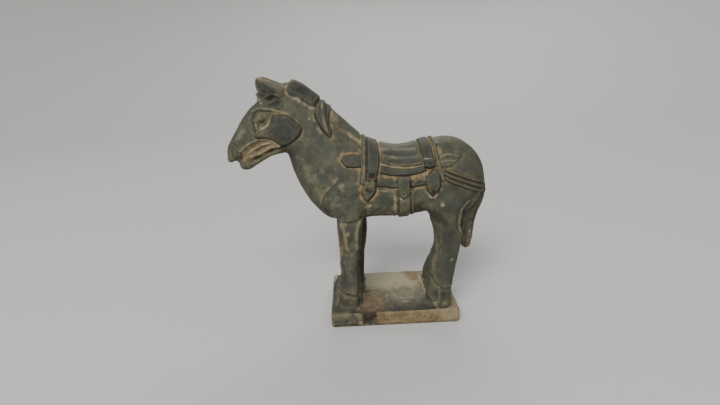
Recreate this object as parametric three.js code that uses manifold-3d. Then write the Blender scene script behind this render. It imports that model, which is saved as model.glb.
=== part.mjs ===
// A moulded terracotta war horse, saddled, standing on its own plinth. Fired as one piece of clay.
// Units are millimetres. +Z is up, the horse faces -X, and its near side is -Y.
// The origin is the centre of the plinth's underside.

import * as THREE from "three";
import { mergeVertices } from "three/addons/utils/BufferGeometryUtils.js";
import Module from "manifold-3d";

const wasm = await Module();
wasm.setup();

// Driving dimensions
const PLINTH = { length: 97.5, depth: 68, height: 12, corner: 2.5 };
const LEG_CENTRE_Y = 18.5; // each hoof's centre, either side of the middle
const SHOULDER_CENTRE_Y = 14;
const EAR_CENTRE_Y = 6.5;
const REACH_Y = 45; // half the length of a cutter that runs through the whole figure
// How far each band of harness, hair or bone stands proud of the skin around it
const LOW = 1;
const MEDIUM = 1.8;
const HIGH = 2.6;

const CLAY = { color: 0x55574e, roughness: 0.85, metalness: 0 };

// Cross-sections as [upper x, upper z, lower x, lower z, half width], both points lying on the side outline
const TRUNK_AND_NECK = [
  [71.5, 100, 66, 91, 8],
  [70.8, 108, 60, 83.5, 16],
  [67.6, 118.6, 52, 80.5, 22],
  [60.6, 128.2, 43, 80.2, 25],
  [46.8, 135.5, 33, 80.6, 26.5],
  [28, 134.2, 21, 80.2, 26.5],
  [8, 130.3, 4, 78.2, 26],
  [-11, 134.5, -13, 78.6, 25.5],
  [-20, 139.6, -33, 76, 24.6],
  [-27, 146, -46.8, 79, 23.4],
  [-34, 152.8, -57.2, 89, 20.6],
  [-43, 161.4, -65.4, 102, 17],
  [-53, 170.2, -70.4, 115, 13.8],
  [-63, 177.6, -73.5, 127, 12.5],
  [-73, 179, -78, 135, 11.5],
  [-81, 174.4, -84, 143, 8],
];
const SKULL = [
  [-118.6, 129, -117, 123.5, 4.8],
  [-117.9, 135.2, -112.3, 125, 7],
  [-114.2, 140.9, -106, 127.5, 7.8],
  [-107.8, 150.8, -99, 130.5, 8.6],
  [-101.1, 159.6, -91, 133, 10],
  [-94.3, 165.7, -83, 134, 11.2],
  [-86, 171.2, -77, 133, 11.8],
  [-77, 173, -71, 137, 11],
  [-68, 171, -64, 140, 8],
];
const LOWER_JAW = [
  [-110, 126.4, -108.2, 118, 4.8],
  [-105, 132, -103.8, 117.6, 6.8],
  [-97.5, 139, -96.5, 122.2, 8],
  [-89, 146, -88, 126.6, 9.2],
  [-80, 150, -79, 128.8, 10],
  [-71, 151, -71, 131, 9],
];
const EAR = [
  [-70.5, 176, -76.5, 168, 4.2],
  [-75.5, 178.6, -84, 169.2, 4.8],
  [-80, 180.4, -89.4, 171.8, 4.4],
  [-85.5, 182.6, -91.4, 175.4, 3.2],
  [-89.8, 184.2, -91.8, 179.8, 1.6],
];
const FORELOCK = [
  [-85, 174, -84, 169, 3.2],
  [-90.2, 173.6, -89.2, 167.4, 3.8],
  [-93.2, 172.6, -92.2, 168.8, 2.8],
];
const SHOULDER = [
  [-36, 121, -18, 119, 3],
  [-42, 111, -16, 110, 8.2],
  [-47.5, 102, -16, 101, 10.6],
  [-49.5, 93, -17, 92, 11.6],
  [-46.5, 85, -20.5, 85.5, 11.4],
];
const FRONT_LEG = [
  [-43, 93, -20, 93, 5.5],
  [-41.5, 80, -21, 80, 7.2],
  [-41, 67, -22.8, 66, 7.6],
  [-40.2, 53, -24.3, 53, 7.4],
  [-39.8, 41, -25.2, 41, 7.4],
  [-40.8, 32, -24.3, 31, 8],
  [-42, 25, -24.2, 23.5, 8.8],
  [-42.6, 16, -24, 15.5, 9.4],
  [-43, 9, -23.5, 9, 9.6],
];
const HIND_LEG = [
  [33, 122, 55, 123, 1],
  [27.5, 112, 61, 113, 4.6],
  [24.8, 100, 61, 101, 8],
  [24.2, 88.5, 54.4, 89.5, 9.6],
  [27.4, 80, 51.6, 81, 9.8],
  [30.2, 72, 50.6, 73, 9.6],
  [31.4, 62, 51.6, 63, 8.8],
  [30.9, 50, 49.8, 51, 8],
  [29, 39, 47.7, 40, 7.6],
  [26.8, 30, 45.8, 29, 8],
  [25.3, 21, 44.4, 20.5, 8.8],
  [25, 9, 44.6, 9, 9.8],
];
// The far legs were set further back than the near ones, by this much at each row
const FAR_FRONT_SETBACK = [3, 3.3, 5.4, 6.3, 5, 3.4, 2.8, 2.4, 2.4];
const FAR_HIND_SETBACK = [0, 0, 0.5, 2.5, 4.8, 6.4, 7.8, 8.4, 7.8, 5.6, 3.6, 2.9];
const TAIL = [
  [57, 104, 71.5, 105, 4],
  [50, 94, 74, 95, 6],
  [46, 84, 71.8, 85, 7],
  [46.5, 74, 67.8, 75.3, 7.4],
  [49.5, 64, 65.8, 65.5, 6.8],
  [53, 55, 65, 56.5, 5.6],
  [57, 47.8, 63.2, 48.8, 3.8],
];

// Harness, hair and bone as outlines in the side view, [x, z]
const CHEEK = [
  [-61.8, 148.4], [-65.4, 153.4], [-70.3, 156.8], [-76, 158.4], [-81, 155.8], [-83.5, 151],
  [-91, 147], [-96, 141.5], [-90.5, 142.4], [-84.5, 141.4], [-79.6, 137.6], [-75.6, 135.9], [-69.6, 138.2], [-63.2, 142.6],
];
const EYE = { x: -89.2, z: 154.9, ring: 4.2, ball: 2.5 };
const BROW = [[-97, 152.5], [-95.9, 157.5], [-92.6, 161.6], [-87.5, 163], [-81, 161]];
const EAR_SHELL = [[-86, 166.4], [-83.6, 171.2], [-79.3, 172.8], [-74.8, 169.9], [-72.4, 164.6], [-78.5, 163.2]];
const MANE_BLOCK = [
  [-66.4, 186], [-67.9, 179.4], [-69.6, 176], [-70.6, 173], [-68, 170.4], [-64.2, 168], [-60.5, 166], [-56.6, 162.8], [-52.6, 161.2],
  [-49.2, 163.8], [-44, 167], [-40, 177],
];
const MANE_LOCK = [
  [-42, 171], [-48.6, 164], [-51.2, 158], [-50.5, 152], [-47.2, 146], [-43.6, 142], [-41, 140.2], [-41.4, 146],
  [-43.2, 152.5], [-42.2, 159], [-38, 164],
];
const MANE_CREST = [[-48, 173], [-43, 161], [-40.2, 158.2], [-33.9, 148], [-28.2, 141.6], [-21.4, 137.6], [-18, 151]];
const FRONT_TAB = [[-35, 125.4], [-32.4, 128.6], [-19, 128.2], [-19, 119.6], [-31.6, 120.4]];
const FRONT_STRAP = [[-19.4, 151], [-20, 134], [-20.7, 124.7], [-21.6, 114.8], [-22.2, 109.4], [-20, 107.4], [-17.8, 109], [-17.2, 124.6], [-16.2, 151]];
const GIRTH_STRAP = [[-14.8, 151], [-14.8, 113], [-10.4, 113], [-8.6, 119], [-7.6, 125], [-8.4, 135], [-8, 151]];
const FRONT_BUCKLE = [[-16.6, 116], [-16.4, 110.4], [-10.6, 110.4], [-10.4, 116]];
const FRONT_PENDANT = [[-18.4, 110.4], [-21.4, 103], [-18, 95.4], [-11.4, 102.4], [-10.8, 110.6]];
const PAD = [[-6.2, 151], [-6.3, 122.2], [0, 120], [8.3, 118.9], [16, 119.2], [23, 120.4], [21.4, 129], [20, 151]];
const PAD_BAND = [[-7.4, 120.4], [-7.8, 115.4], [0, 113.4], [8.6, 112.7], [16.6, 113.6], [24, 115.8], [23.6, 119.4], [16, 117.9], [8.3, 117.6], [0, 118.6]];
const FLANK_STRAP = [[-11, 113], [-11, 106.6], [4, 104.8], [14, 105], [25, 106.2], [25, 113.4], [14, 111.4], [4, 111.2]];
const GIRTH = [[4.4, 112.2], [4.2, 103], [4.8, 92], [5.6, 61], [13.6, 61], [13.4, 81], [13, 96], [13, 112.4]];
const GIRTH_TAB = [[4.6, 113], [4.8, 101.4], [6.2, 97.8], [8.6, 96.6], [11, 97.8], [12.4, 101.4], [13, 113]];
const GIRTH_CORD = [[14.6, 105], [14.2, 93], [14.4, 81], [16, 81], [16, 93], [16.4, 105]];
const REAR_STRAP = [[21.6, 151], [21.8, 134], [22.2, 128], [23.6, 120], [30.6, 120], [29.6, 128.6], [29.2, 134], [28.6, 151]];
const REAR_BUCKLE = [[23.4, 122.4], [23.6, 118], [27, 117], [30.6, 118.2], [30.8, 122.4]];
const REAR_CORD = [[30.4, 151], [30.6, 135], [31, 125], [33.6, 111], [35.6, 107.4], [37.4, 109.4], [35.4, 116], [33, 126], [32.4, 151]];
const REAR_PENDANT = [[29.8, 117], [24.6, 112.4], [23.9, 107], [24.6, 102], [28.8, 97.6], [33.8, 104], [34.2, 109], [31.6, 116.8]];
const REAR_LEAF = [[33.8, 125.6], [37.4, 127], [41.8, 126.6], [46, 124.6], [49, 124.4], [46.6, 121.6], [42.6, 118.4], [38.2, 117], [34.8, 117.4]];
const LEAF_HOLE = [[40, 123.2], [42.6, 123.6], [44.4, 122.2], [42.4, 121.8]];
// The crupper runs back to the tail as ridges side by side, each a band between these two edges
const CRUPPER = { top: [[36.6, 117.6], [48, 113], [76, 103.6]], bottom: [[37, 107.4], [48, 103.4], [76, 92]], ridges: 3 };
// A dent broken out of the plinth's near edge, as an outline on that face
const CHIP = { outline: [[-25.4, 13], [-24.2, 7], [-25, -1], [-17.4, -1], [-15.2, 5.6], [-17, 13]], depth: 1.8 };

// A smooth run through rows of numbers, read at 0 to 1
function runThrough(rows) {
  const three = (from) =>
    new THREE.CatmullRomCurve3(
      rows.map((r) => new THREE.Vector3(r[from] ?? 0, r[from + 1] ?? 0, r[from + 2] ?? 0)),
      false,
      "catmullrom",
      0.5,
    );
  const upper = three(0);
  const lower = three(2);
  return (t) => {
    const a = upper.getPoint(t);
    const b = lower.getPoint(t);
    return { upper: [a.x, a.y], lower: [b.x, b.y], halfWidth: b.z };
  };
}

// One closed skin through a run of oval sections, thicker all over by swell
function loft(rows, { rings, sides, centreY = 0, swell = 0, narrowTop = 0, squareness = 2.2, domes = [2, 2] }) {
  const at = runThrough(rows);
  const points = [];
  const ringAt = (t, scale, advance) => {
    const { upper, lower, halfWidth } = at(t);
    const mid = [(upper[0] + lower[0]) / 2, (upper[1] + lower[1]) / 2];
    const half = [(upper[0] - lower[0]) / 2, (upper[1] - lower[1]) / 2];
    const length = Math.hypot(half[0], half[1]);
    const grown = (length + swell) / length;
    for (let j = 0; j < sides; j++) {
      const angle = (j / sides) * 2 * Math.PI;
      const rounded = (v) => Math.sign(v) * Math.abs(v) ** (2 / squareness);
      const along = rounded(Math.cos(angle)) * grown * scale;
      const across = rounded(Math.sin(angle)) * (halfWidth + swell) * scale * (1 - narrowTop * along);
      points.push(mid[0] + half[0] * along + advance[0], centreY + across, mid[1] + half[1] * along + advance[1]);
    }
  };
  // Each end is rounded by a few shrinking rings that advance along the run
  const heading = (t, back) => {
    const here = at(t);
    const there = at(t + back);
    const dx = here.upper[0] + here.lower[0] - there.upper[0] - there.lower[0];
    const dz = here.upper[1] + here.lower[1] - there.upper[1] - there.lower[1];
    const size = Math.hypot(dx, dz);
    return [dx / size, dz / size];
  };
  const DOME_RINGS = 2;
  const first = heading(0, 0.01);
  const last = heading(1, -0.01);
  const dome = (t, direction, depth, k) => {
    const bend = (k / (DOME_RINGS + 1)) * (Math.PI / 2);
    const reach = (depth + swell) * Math.sin(bend);
    ringAt(t, Math.cos(bend), [direction[0] * reach, direction[1] * reach]);
  };
  for (let k = DOME_RINGS; k >= 1; k--) dome(0, first, domes[0], k);
  for (let i = 0; i <= rings; i++) ringAt(i / rings, 1, [0, 0]);
  for (let k = 1; k <= DOME_RINGS; k++) dome(1, last, domes[1], k);
  const total = rings + 1 + 2 * DOME_RINGS;
  const pole = (t, direction, depth) => {
    const { upper, lower } = at(t);
    const reach = depth + swell;
    points.push(
      (upper[0] + lower[0]) / 2 + direction[0] * reach,
      centreY,
      (upper[1] + lower[1]) / 2 + direction[1] * reach,
    );
  };
  pole(0, first, domes[0]);
  pole(1, last, domes[1]);
  const faces = [];
  for (let i = 0; i + 1 < total; i++)
    for (let j = 0; j < sides; j++) {
      const k = (j + 1) % sides;
      const [a, b, c, d] = [i * sides + j, i * sides + k, (i + 1) * sides + k, (i + 1) * sides + j];
      faces.push(a, b, c, a, c, d);
    }
  for (let j = 0; j < sides; j++) {
    const k = (j + 1) % sides;
    faces.push(total * sides, k, j);
    faces.push(total * sides + 1, (total - 1) * sides + j, (total - 1) * sides + k);
  }
  return solid(points, faces);
}

// Vertices and triangles as a solid, turned to face outwards
function solid(points, faces) {
  const make = (triangles) =>
    new wasm.Manifold(
      new wasm.Mesh({
        numProp: 3,
        vertProperties: new Float32Array(points),
        triVerts: new Uint32Array(triangles),
      }),
    );
  const made = make(faces);
  if (made.volume() > 0) return made;
  const turned = [];
  for (let i = 0; i < faces.length; i += 3) turned.push(faces[i], faces[i + 2], faces[i + 1]);
  return make(turned);
}

// A three.js geometry as a solid
function solidOf(geometry) {
  const bare = geometry.clone();
  bare.deleteAttribute("normal");
  bare.deleteAttribute("uv");
  const merged = mergeVertices(bare, 1e-4);
  return solid([...merged.attributes.position.array], [...merged.index.array]);
}

const joined = (solids) => solids.reduce((whole, next) => whole.add(next));

// The same sections, each moved towards the tail by its own amount
const setBack = (rows, by) => rows.map(([ux, uz, lx, lz, w], i) => [ux + by[i], uz, lx + by[i], lz, w]);

// The bare animal without its ears and tail, thicker all over by swell
function animal(swell) {
  const foreleg = { rings: 9, sides: 12, swell, domes: [1, 1] };
  const hindLeg = { rings: 12, sides: 12, swell, domes: [1, 1] };
  const shoulder = { rings: 5, sides: 12, swell, domes: [3, 3] };
  return joined([
    loft(TRUNK_AND_NECK, { rings: 23, sides: 20, swell, narrowTop: 0.12, squareness: 2.4 }),
    loft(SKULL, { rings: 12, sides: 14, swell, narrowTop: 0.1, squareness: 2.7, domes: [1.5, 1] }),
    loft(LOWER_JAW, { rings: 6, sides: 12, swell, squareness: 2.7, domes: [1.5, 1] }),
    loft(FRONT_LEG, { ...foreleg, centreY: -LEG_CENTRE_Y }),
    loft(setBack(FRONT_LEG, FAR_FRONT_SETBACK), { ...foreleg, centreY: LEG_CENTRE_Y }),
    loft(HIND_LEG, { ...hindLeg, centreY: -LEG_CENTRE_Y }),
    loft(setBack(HIND_LEG, FAR_HIND_SETBACK), { ...hindLeg, centreY: LEG_CENTRE_Y }),
    ...[-1, 1].map((side) => loft(SHOULDER, { ...shoulder, centreY: side * SHOULDER_CENTRE_Y })),
  ]);
}

// A side-view outline as a solid running through the whole figure from one side to the other
function throughFigure(outline) {
  const shape = new THREE.Shape(outline.map(([x, z]) => new THREE.Vector2(x, z)));
  const run = new THREE.ExtrudeGeometry(shape, { depth: 2 * REACH_Y, bevelEnabled: false });
  run.rotateX(Math.PI / 2);
  run.translate(0, REACH_Y, 0);
  return solidOf(run);
}

const skins = new Map([LOW, MEDIUM, HIGH].map((height) => [height, animal(height)]));
const raised = (outline, height) => skins.get(height).intersect(throughFigure(outline));

// A strip of even width along a line
function strip(line, width) {
  const curve = new THREE.SplineCurve(line.map(([x, z]) => new THREE.Vector2(x, z)));
  const steps = 2 * (line.length - 1);
  const edge = (side) =>
    Array.from({ length: steps + 1 }, (_, i) => {
      const point = curve.getPoint(i / steps);
      const along = curve.getTangent(i / steps);
      return [point.x - (along.y * side * width) / 2, point.y + (along.x * side * width) / 2];
    });
  return [...edge(1), ...edge(-1).reverse()];
}

function disc({ x, z }, radius, sides) {
  return Array.from({ length: sides }, (_, i) => {
    const angle = (i / sides) * 2 * Math.PI;
    return [x + radius * Math.cos(angle), z + radius * Math.sin(angle)];
  });
}

// The crupper's ridges, each with a groove between it and the next
function crupper() {
  const { top, bottom, ridges } = CRUPPER;
  const between = (share) => top.map(([x, z], i) => [x + (bottom[i][0] - x) * share, z + (bottom[i][1] - z) * share]);
  return Array.from({ length: ridges }, (_, i) => {
    const upper = between((i + 0.08) / ridges);
    const lower = between((i + 0.78) / ridges);
    return raised([...upper, ...lower.reverse()], LOW);
  });
}

function harness() {
  return [
    raised(FRONT_TAB, MEDIUM),
    raised(FRONT_STRAP, MEDIUM),
    raised(GIRTH_STRAP, MEDIUM),
    raised(FRONT_BUCKLE, HIGH),
    raised(FRONT_PENDANT, HIGH),
    raised(PAD, LOW),
    raised(PAD_BAND, LOW),
    raised(FLANK_STRAP, LOW),
    raised(GIRTH, MEDIUM),
    raised(GIRTH_TAB, HIGH),
    raised(GIRTH_CORD, LOW),
    raised(REAR_STRAP, MEDIUM),
    raised(REAR_BUCKLE, HIGH),
    raised(REAR_CORD, MEDIUM),
    raised(REAR_PENDANT, HIGH),
    raised(REAR_LEAF, MEDIUM).subtract(throughFigure(LEAF_HOLE)),
    ...crupper(),
  ];
}

function headAndHair() {
  return [
    raised(CHEEK, MEDIUM),
    raised(disc(EYE, EYE.ring, 12), LOW),
    raised(disc(EYE, EYE.ball, 10), MEDIUM),
    raised(strip(BROW, 1.6), MEDIUM),
    raised(EAR_SHELL, MEDIUM),
    raised(MANE_BLOCK, HIGH),
    raised(MANE_LOCK, MEDIUM),
    raised(MANE_CREST, LOW),
    loft(FORELOCK, { rings: 2, sides: 8, domes: [1, 0.8] }),
    ...[-1, 1].map((side) => loft(EAR, { rings: 6, sides: 8, centreY: side * EAR_CENTRE_Y, domes: [2, 1] })),
  ];
}

function plinth() {
  const { length, depth, height, corner } = PLINTH;
  const [x, y] = [length / 2, depth / 2];
  const outline = new THREE.Shape();
  outline.moveTo(-x + corner, -y);
  outline.lineTo(x - corner, -y);
  outline.quadraticCurveTo(x, -y, x, -y + corner);
  outline.lineTo(x, y - corner);
  outline.quadraticCurveTo(x, y, x - corner, y);
  outline.lineTo(-x + corner, y);
  outline.quadraticCurveTo(-x, y, -x, y - corner);
  outline.lineTo(-x, -y + corner);
  outline.quadraticCurveTo(-x, -y, -x + corner, -y);
  const slab = new THREE.ExtrudeGeometry(outline, { depth: height, bevelEnabled: false, curveSegments: 3 });
  return solidOf(slab);
}

function chip() {
  const shape = new THREE.Shape(CHIP.outline.map(([x, z]) => new THREE.Vector2(x, z)));
  const dent = new THREE.ExtrudeGeometry(shape, { depth: 2 * CHIP.depth, bevelEnabled: false });
  dent.rotateX(Math.PI / 2);
  dent.translate(0, CHIP.depth - PLINTH.depth / 2, 0);
  return solidOf(dent);
}

const tail = loft(TAIL, { rings: 10, sides: 10, domes: [2, 2] });
const body = joined([animal(0), tail, ...headAndHair(), ...harness(), plinth().subtract(chip())]);

const { vertProperties, triVerts } = body.getMesh();
const geometry = new THREE.BufferGeometry()
  .setAttribute("position", new THREE.BufferAttribute(new Float32Array(vertProperties), 3))
  .setIndex(new THREE.BufferAttribute(triVerts, 1));
geometry.computeVertexNormals();
const horse = new THREE.Mesh(geometry, new THREE.MeshStandardMaterial(CLAY));
horse.name = "horse_on_plinth";

const figure = new THREE.Group();
figure.add(horse);
export default figure;
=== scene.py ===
import math
from types import SimpleNamespace

import bpy
import numpy as np
from mathutils import Matrix, Vector, noise


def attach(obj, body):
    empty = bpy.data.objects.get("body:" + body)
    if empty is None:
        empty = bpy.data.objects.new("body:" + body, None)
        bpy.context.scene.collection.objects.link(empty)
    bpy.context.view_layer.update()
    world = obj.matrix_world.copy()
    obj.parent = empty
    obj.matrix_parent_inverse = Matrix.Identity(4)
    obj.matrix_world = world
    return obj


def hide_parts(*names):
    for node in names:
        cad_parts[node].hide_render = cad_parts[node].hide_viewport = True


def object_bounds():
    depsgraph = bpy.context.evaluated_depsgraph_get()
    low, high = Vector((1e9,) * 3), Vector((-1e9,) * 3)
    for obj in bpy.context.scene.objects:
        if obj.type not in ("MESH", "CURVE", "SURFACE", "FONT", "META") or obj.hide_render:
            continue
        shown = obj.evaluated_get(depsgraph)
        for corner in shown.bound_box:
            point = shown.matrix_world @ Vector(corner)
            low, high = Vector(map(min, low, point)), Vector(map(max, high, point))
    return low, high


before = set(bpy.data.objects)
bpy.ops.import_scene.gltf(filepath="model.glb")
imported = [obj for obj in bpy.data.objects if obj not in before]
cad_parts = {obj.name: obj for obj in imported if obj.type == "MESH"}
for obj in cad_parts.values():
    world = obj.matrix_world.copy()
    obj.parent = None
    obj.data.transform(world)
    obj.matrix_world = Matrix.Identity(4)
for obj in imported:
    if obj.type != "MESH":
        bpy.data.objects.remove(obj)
cad_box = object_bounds()


# The horse and its plinth are one piece of low-fired clay, pressed into a two-part mould.
# Its bare body is a run of oval sections: trunk and neck, skull, jaw, shoulders, legs, ears and tail.
# Each is [upper x, upper z, lower x, lower z, half width] in millimetres, both points on the side outline.
MM = 0.001
TRUNK_AND_NECK = [
    [71.5, 100, 66, 91, 8],
    [70.8, 108, 60, 83.5, 16],
    [67.6, 118.6, 52, 80.5, 22],
    [60.6, 128.2, 43, 80.2, 25],
    [46.8, 135.5, 33, 80.6, 26.5],
    [28, 134.2, 21, 80.2, 26.5],
    [8, 130.3, 4, 78.2, 26],
    [-11, 134.5, -13, 78.6, 25.5],
    [-20, 139.6, -33, 76, 24.6],
    [-27, 146, -46.8, 79, 23.4],
    [-34, 152.8, -57.2, 89, 20.6],
    [-43, 161.4, -65.4, 102, 17],
    [-53, 170.2, -70.4, 115, 13.8],
    [-63, 177.6, -73.5, 127, 12.5],
    [-73, 179, -78, 135, 11.5],
    [-81, 174.4, -84, 143, 8],
]
SKULL = [
    [-118.6, 129, -117, 123.5, 4.8],
    [-117.9, 135.2, -112.3, 125, 7],
    [-114.2, 140.9, -106, 127.5, 7.8],
    [-107.8, 150.8, -99, 130.5, 8.6],
    [-101.1, 159.6, -91, 133, 10],
    [-94.3, 165.7, -83, 134, 11.2],
    [-86, 171.2, -77, 133, 11.8],
    [-77, 173, -71, 137, 11],
    [-68, 171, -64, 140, 8],
]
LOWER_JAW = [
    [-110, 126.4, -108.2, 118, 4.8],
    [-105, 132, -103.8, 117.6, 6.8],
    [-97.5, 139, -96.5, 122.2, 8],
    [-89, 146, -88, 126.6, 9.2],
    [-80, 150, -79, 128.8, 10],
    [-71, 151, -71, 131, 9],
]
EAR = [
    [-70.5, 176, -76.5, 168, 4.2],
    [-75.5, 178.6, -84, 169.2, 4.8],
    [-80, 180.4, -89.4, 171.8, 4.4],
    [-85.5, 182.6, -91.4, 175.4, 3.2],
    [-89.8, 184.2, -91.8, 179.8, 1.6],
]
FORELOCK_TUFT = [
    [-85, 174, -84, 169, 3.2],
    [-90.2, 173.6, -89.2, 167.4, 3.8],
    [-93.2, 172.6, -92.2, 168.8, 2.8],
]
SHOULDER = [
    [-36, 121, -18, 119, 3],
    [-42, 111, -16, 110, 8.2],
    [-47.5, 102, -16, 101, 10.6],
    [-49.5, 93, -17, 92, 11.6],
    [-46.5, 85, -20.5, 85.5, 11.4],
]
FRONT_LEG = [
    [-43, 93, -20, 93, 5.5],
    [-41.5, 80, -21, 80, 7.2],
    [-41, 67, -22.8, 66, 7.6],
    [-40.2, 53, -24.3, 53, 7.4],
    [-39.8, 41, -25.2, 41, 7.4],
    [-40.8, 32, -24.3, 31, 8],
    [-42, 25, -24.2, 23.5, 8.8],
    [-42.6, 16, -24, 15.5, 9.4],
    [-43, 9, -23.5, 9, 9.6],
]
HIND_LEG = [
    [33, 122, 55, 123, 1],
    [27.5, 112, 61, 113, 4.6],
    [24.8, 100, 61, 101, 8],
    [24.2, 88.5, 54.4, 89.5, 9.6],
    [27.4, 80, 51.6, 81, 9.8],
    [30.2, 72, 50.6, 73, 9.6],
    [31.4, 62, 51.6, 63, 8.8],
    [30.9, 50, 49.8, 51, 8],
    [29, 39, 47.7, 40, 7.6],
    [26.8, 30, 45.8, 29, 8],
    [25.3, 21, 44.4, 20.5, 8.8],
    [25, 9, 44.6, 9, 9.8],
]
TAIL = [
    [57, 104, 71.5, 105, 4],
    [50, 94, 74, 95, 6],
    [46, 84, 71.8, 85, 7],
    [46.5, 74, 67.8, 75.3, 7.4],
    [49.5, 64, 65.8, 65.5, 6.8],
    [53, 55, 65, 56.5, 5.6],
    [57, 47.8, 63.2, 48.8, 3.8],
]
LEG_Y = 18.5
# The far legs were set further back than the near ones, by this much at each row.
FAR_FRONT_SETBACK = [3, 3.3, 5.4, 6.3, 5, 3.4, 2.8, 2.4, 2.4]
FAR_HIND_SETBACK = [0, 0, 0.5, 2.5, 4.8, 6.4, 7.8, 8.4, 7.8, 5.6, 3.6, 2.9]
SHOULDER_Y = 14
EAR_Y = 6.5
PLINTH = (97.5, 68, 12)
PLINTH_ROUNDING = 0.9
SKIN_VOXEL = 1.5


def run_through(rows, t):
    """Smooth values along rows of numbers, read at each t from 0 to 1."""
    rows = np.array(rows, float)
    padded = np.vstack([2 * rows[0] - rows[1], rows, 2 * rows[-1] - rows[-2]])
    place = np.clip(t, 0, 1) * (len(rows) - 1)
    step = np.minimum(place.astype(int), len(rows) - 2)
    w = (place - step)[:, None]
    before, start, end, after = (padded[step + k] for k in range(4))
    leave, arrive = (end - before) / 2, (after - start) / 2
    return (
        start
        + leave * w
        + (3 * (end - start) - 2 * leave - arrive) * w**2
        + (2 * (start - end) + leave + arrive) * w**3
    )


def pull_out(name, rows, rings, sides, centre_y=0, narrow_top=0, squareness=2.2, ends=(2, 2)):
    """A ball of clay pulled out along the sections, with rounded ends."""
    end_rings = 5
    total = rings + 2 * end_rings
    bpy.ops.object.select_all(action="DESELECT")
    bpy.ops.mesh.primitive_uv_sphere_add(segments=sides, ring_count=total, radius=1)
    piece = bpy.context.active_object
    piece.name = name
    ball = np.empty(len(piece.data.vertices) * 3)
    piece.data.vertices.foreach_get("co", ball)
    ball = ball.reshape(-1, 3)
    ring = np.rint(np.arccos(np.clip(ball[:, 2], -1, 1)) / math.pi * total)
    angle = np.arctan2(ball[:, 1], ball[:, 0])
    t = np.clip((ring - end_rings) / rings, 0, 1)
    section = run_through(rows, t)
    inward = run_through(rows, np.where(t < 0.5, t + 0.01, t - 0.01))
    heading = section[:, 0:2] + section[:, 2:4] - inward[:, 0:2] - inward[:, 2:4]
    heading /= np.linalg.norm(heading, axis=1)[:, None]
    past_end = np.maximum(end_rings - ring, ring - (total - end_rings))
    bend = np.clip(past_end / end_rings, 0, 1) * math.pi / 2
    scale = np.cos(bend)
    reach = np.sin(bend) * np.where(t < 0.5, ends[0], ends[1])
    middle = (section[:, 0:2] + section[:, 2:4]) / 2
    half = (section[:, 0:2] - section[:, 2:4]) / 2
    upward, sideways = (
        np.sign(turn) * np.abs(turn) ** (2 / squareness) for turn in (np.cos(angle), np.sin(angle))
    )
    along = upward * scale
    across = sideways * section[:, 4] * scale * (1 - narrow_top * along)
    place = middle + half * along[:, None] + heading * reach[:, None]
    shaped = np.stack([place[:, 0], centre_y + across, place[:, 1]], axis=1) * MM
    piece.data.vertices.foreach_set("co", shaped.ravel())
    piece.data.update()
    return piece


def set_back(rows, by):
    return [[ux + back, uz, lx + back, lz, width] for (ux, uz, lx, lz, width), back in zip(rows, by)]


lumps = [
    pull_out("trunk and neck", TRUNK_AND_NECK, 120, 72, narrow_top=0.12, squareness=2.4),
    pull_out("skull", SKULL, 60, 48, narrow_top=0.1, squareness=2.7, ends=(1.5, 1)),
    pull_out("lower jaw", LOWER_JAW, 40, 40, squareness=2.7, ends=(1.5, 1)),
    pull_out("tail", TAIL, 50, 32),
    pull_out("forelock", FORELOCK_TUFT, 16, 24, ends=(1, 0.8)),
    pull_out("near foreleg", FRONT_LEG, 60, 40, centre_y=-LEG_Y, ends=(1, 1)),
    pull_out("far foreleg", set_back(FRONT_LEG, FAR_FRONT_SETBACK), 60, 40, centre_y=LEG_Y, ends=(1, 1)),
    pull_out("near hind leg", HIND_LEG, 70, 40, centre_y=-LEG_Y, ends=(1, 1)),
    pull_out("far hind leg", set_back(HIND_LEG, FAR_HIND_SETBACK), 70, 40, centre_y=LEG_Y, ends=(1, 1)),
]
for side in (-1, 1):
    lumps += [
        pull_out("shoulder", SHOULDER, 30, 48, centre_y=side * SHOULDER_Y, ends=(3, 3)),
        pull_out("ear", EAR, 30, 28, centre_y=side * EAR_Y, ends=(2, 1)),
    ]

bpy.ops.object.select_all(action="DESELECT")
bpy.ops.mesh.primitive_cube_add(size=MM, location=(0, 0, PLINTH[2] / 2 * MM))
plinth = bpy.context.active_object
plinth.scale = PLINTH
bpy.ops.object.transform_apply(location=True, rotation=False, scale=True)
rounding = plinth.modifiers.new("rounded corners", "BEVEL")
rounding.width = PLINTH_ROUNDING * MM
rounding.segments = 3
bpy.ops.object.modifier_apply(modifier="rounded corners")

for lump in lumps:
    lump.select_set(True)
bpy.context.view_layer.objects.active = plinth
bpy.ops.object.join()
horse = bpy.context.active_object
horse.name = "moulded_horse"
horse.data.name = "moulded_horse"


def soften(name, *passes):
    """Smooths the clay; a factor below zero gives back the bulk that the pass before took away."""
    for factor, times in passes:
        smoothing = horse.modifiers.new(name, "SMOOTH")
        smoothing.factor = factor
        smoothing.iterations = times
        bpy.ops.object.modifier_apply(modifier=name)


# The lumps are worked into one skin, and their joins softened as wet clay is.
one_skin = horse.modifiers.new("one skin", "REMESH")
one_skin.mode = "VOXEL"
one_skin.voxel_size = SKIN_VOXEL * MM
bpy.ops.object.modifier_apply(modifier="one skin")
soften("softened joins", (0.5, 5), (-0.52, 5), (0.5, 2))

# What is pressed into the skin is kept on it, to be worked at the end: how far the clay stands up in
# millimetres, and how much ochre clay, cream dust and painted highlight, black grime and painted shade, rust
# stain and brown painted shade, and thick dark slip, in places painted shade, shows.
FIELDS = ("lift", "ochre", "cream", "grime", "rust", "thick")
for field in FIELDS:
    horse.data.attributes.new(field, "FLOAT", "POINT")


def vertices_mm(mesh):
    places = np.empty(len(mesh.vertices) * 3)
    mesh.vertices.foreach_get("co", places)
    return places.reshape(-1, 3) / MM


def normals_of(parts):
    directions = np.empty(len(parts) * 3)
    parts.foreach_get("normal", directions)
    return directions.reshape(-1, 3)


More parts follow.
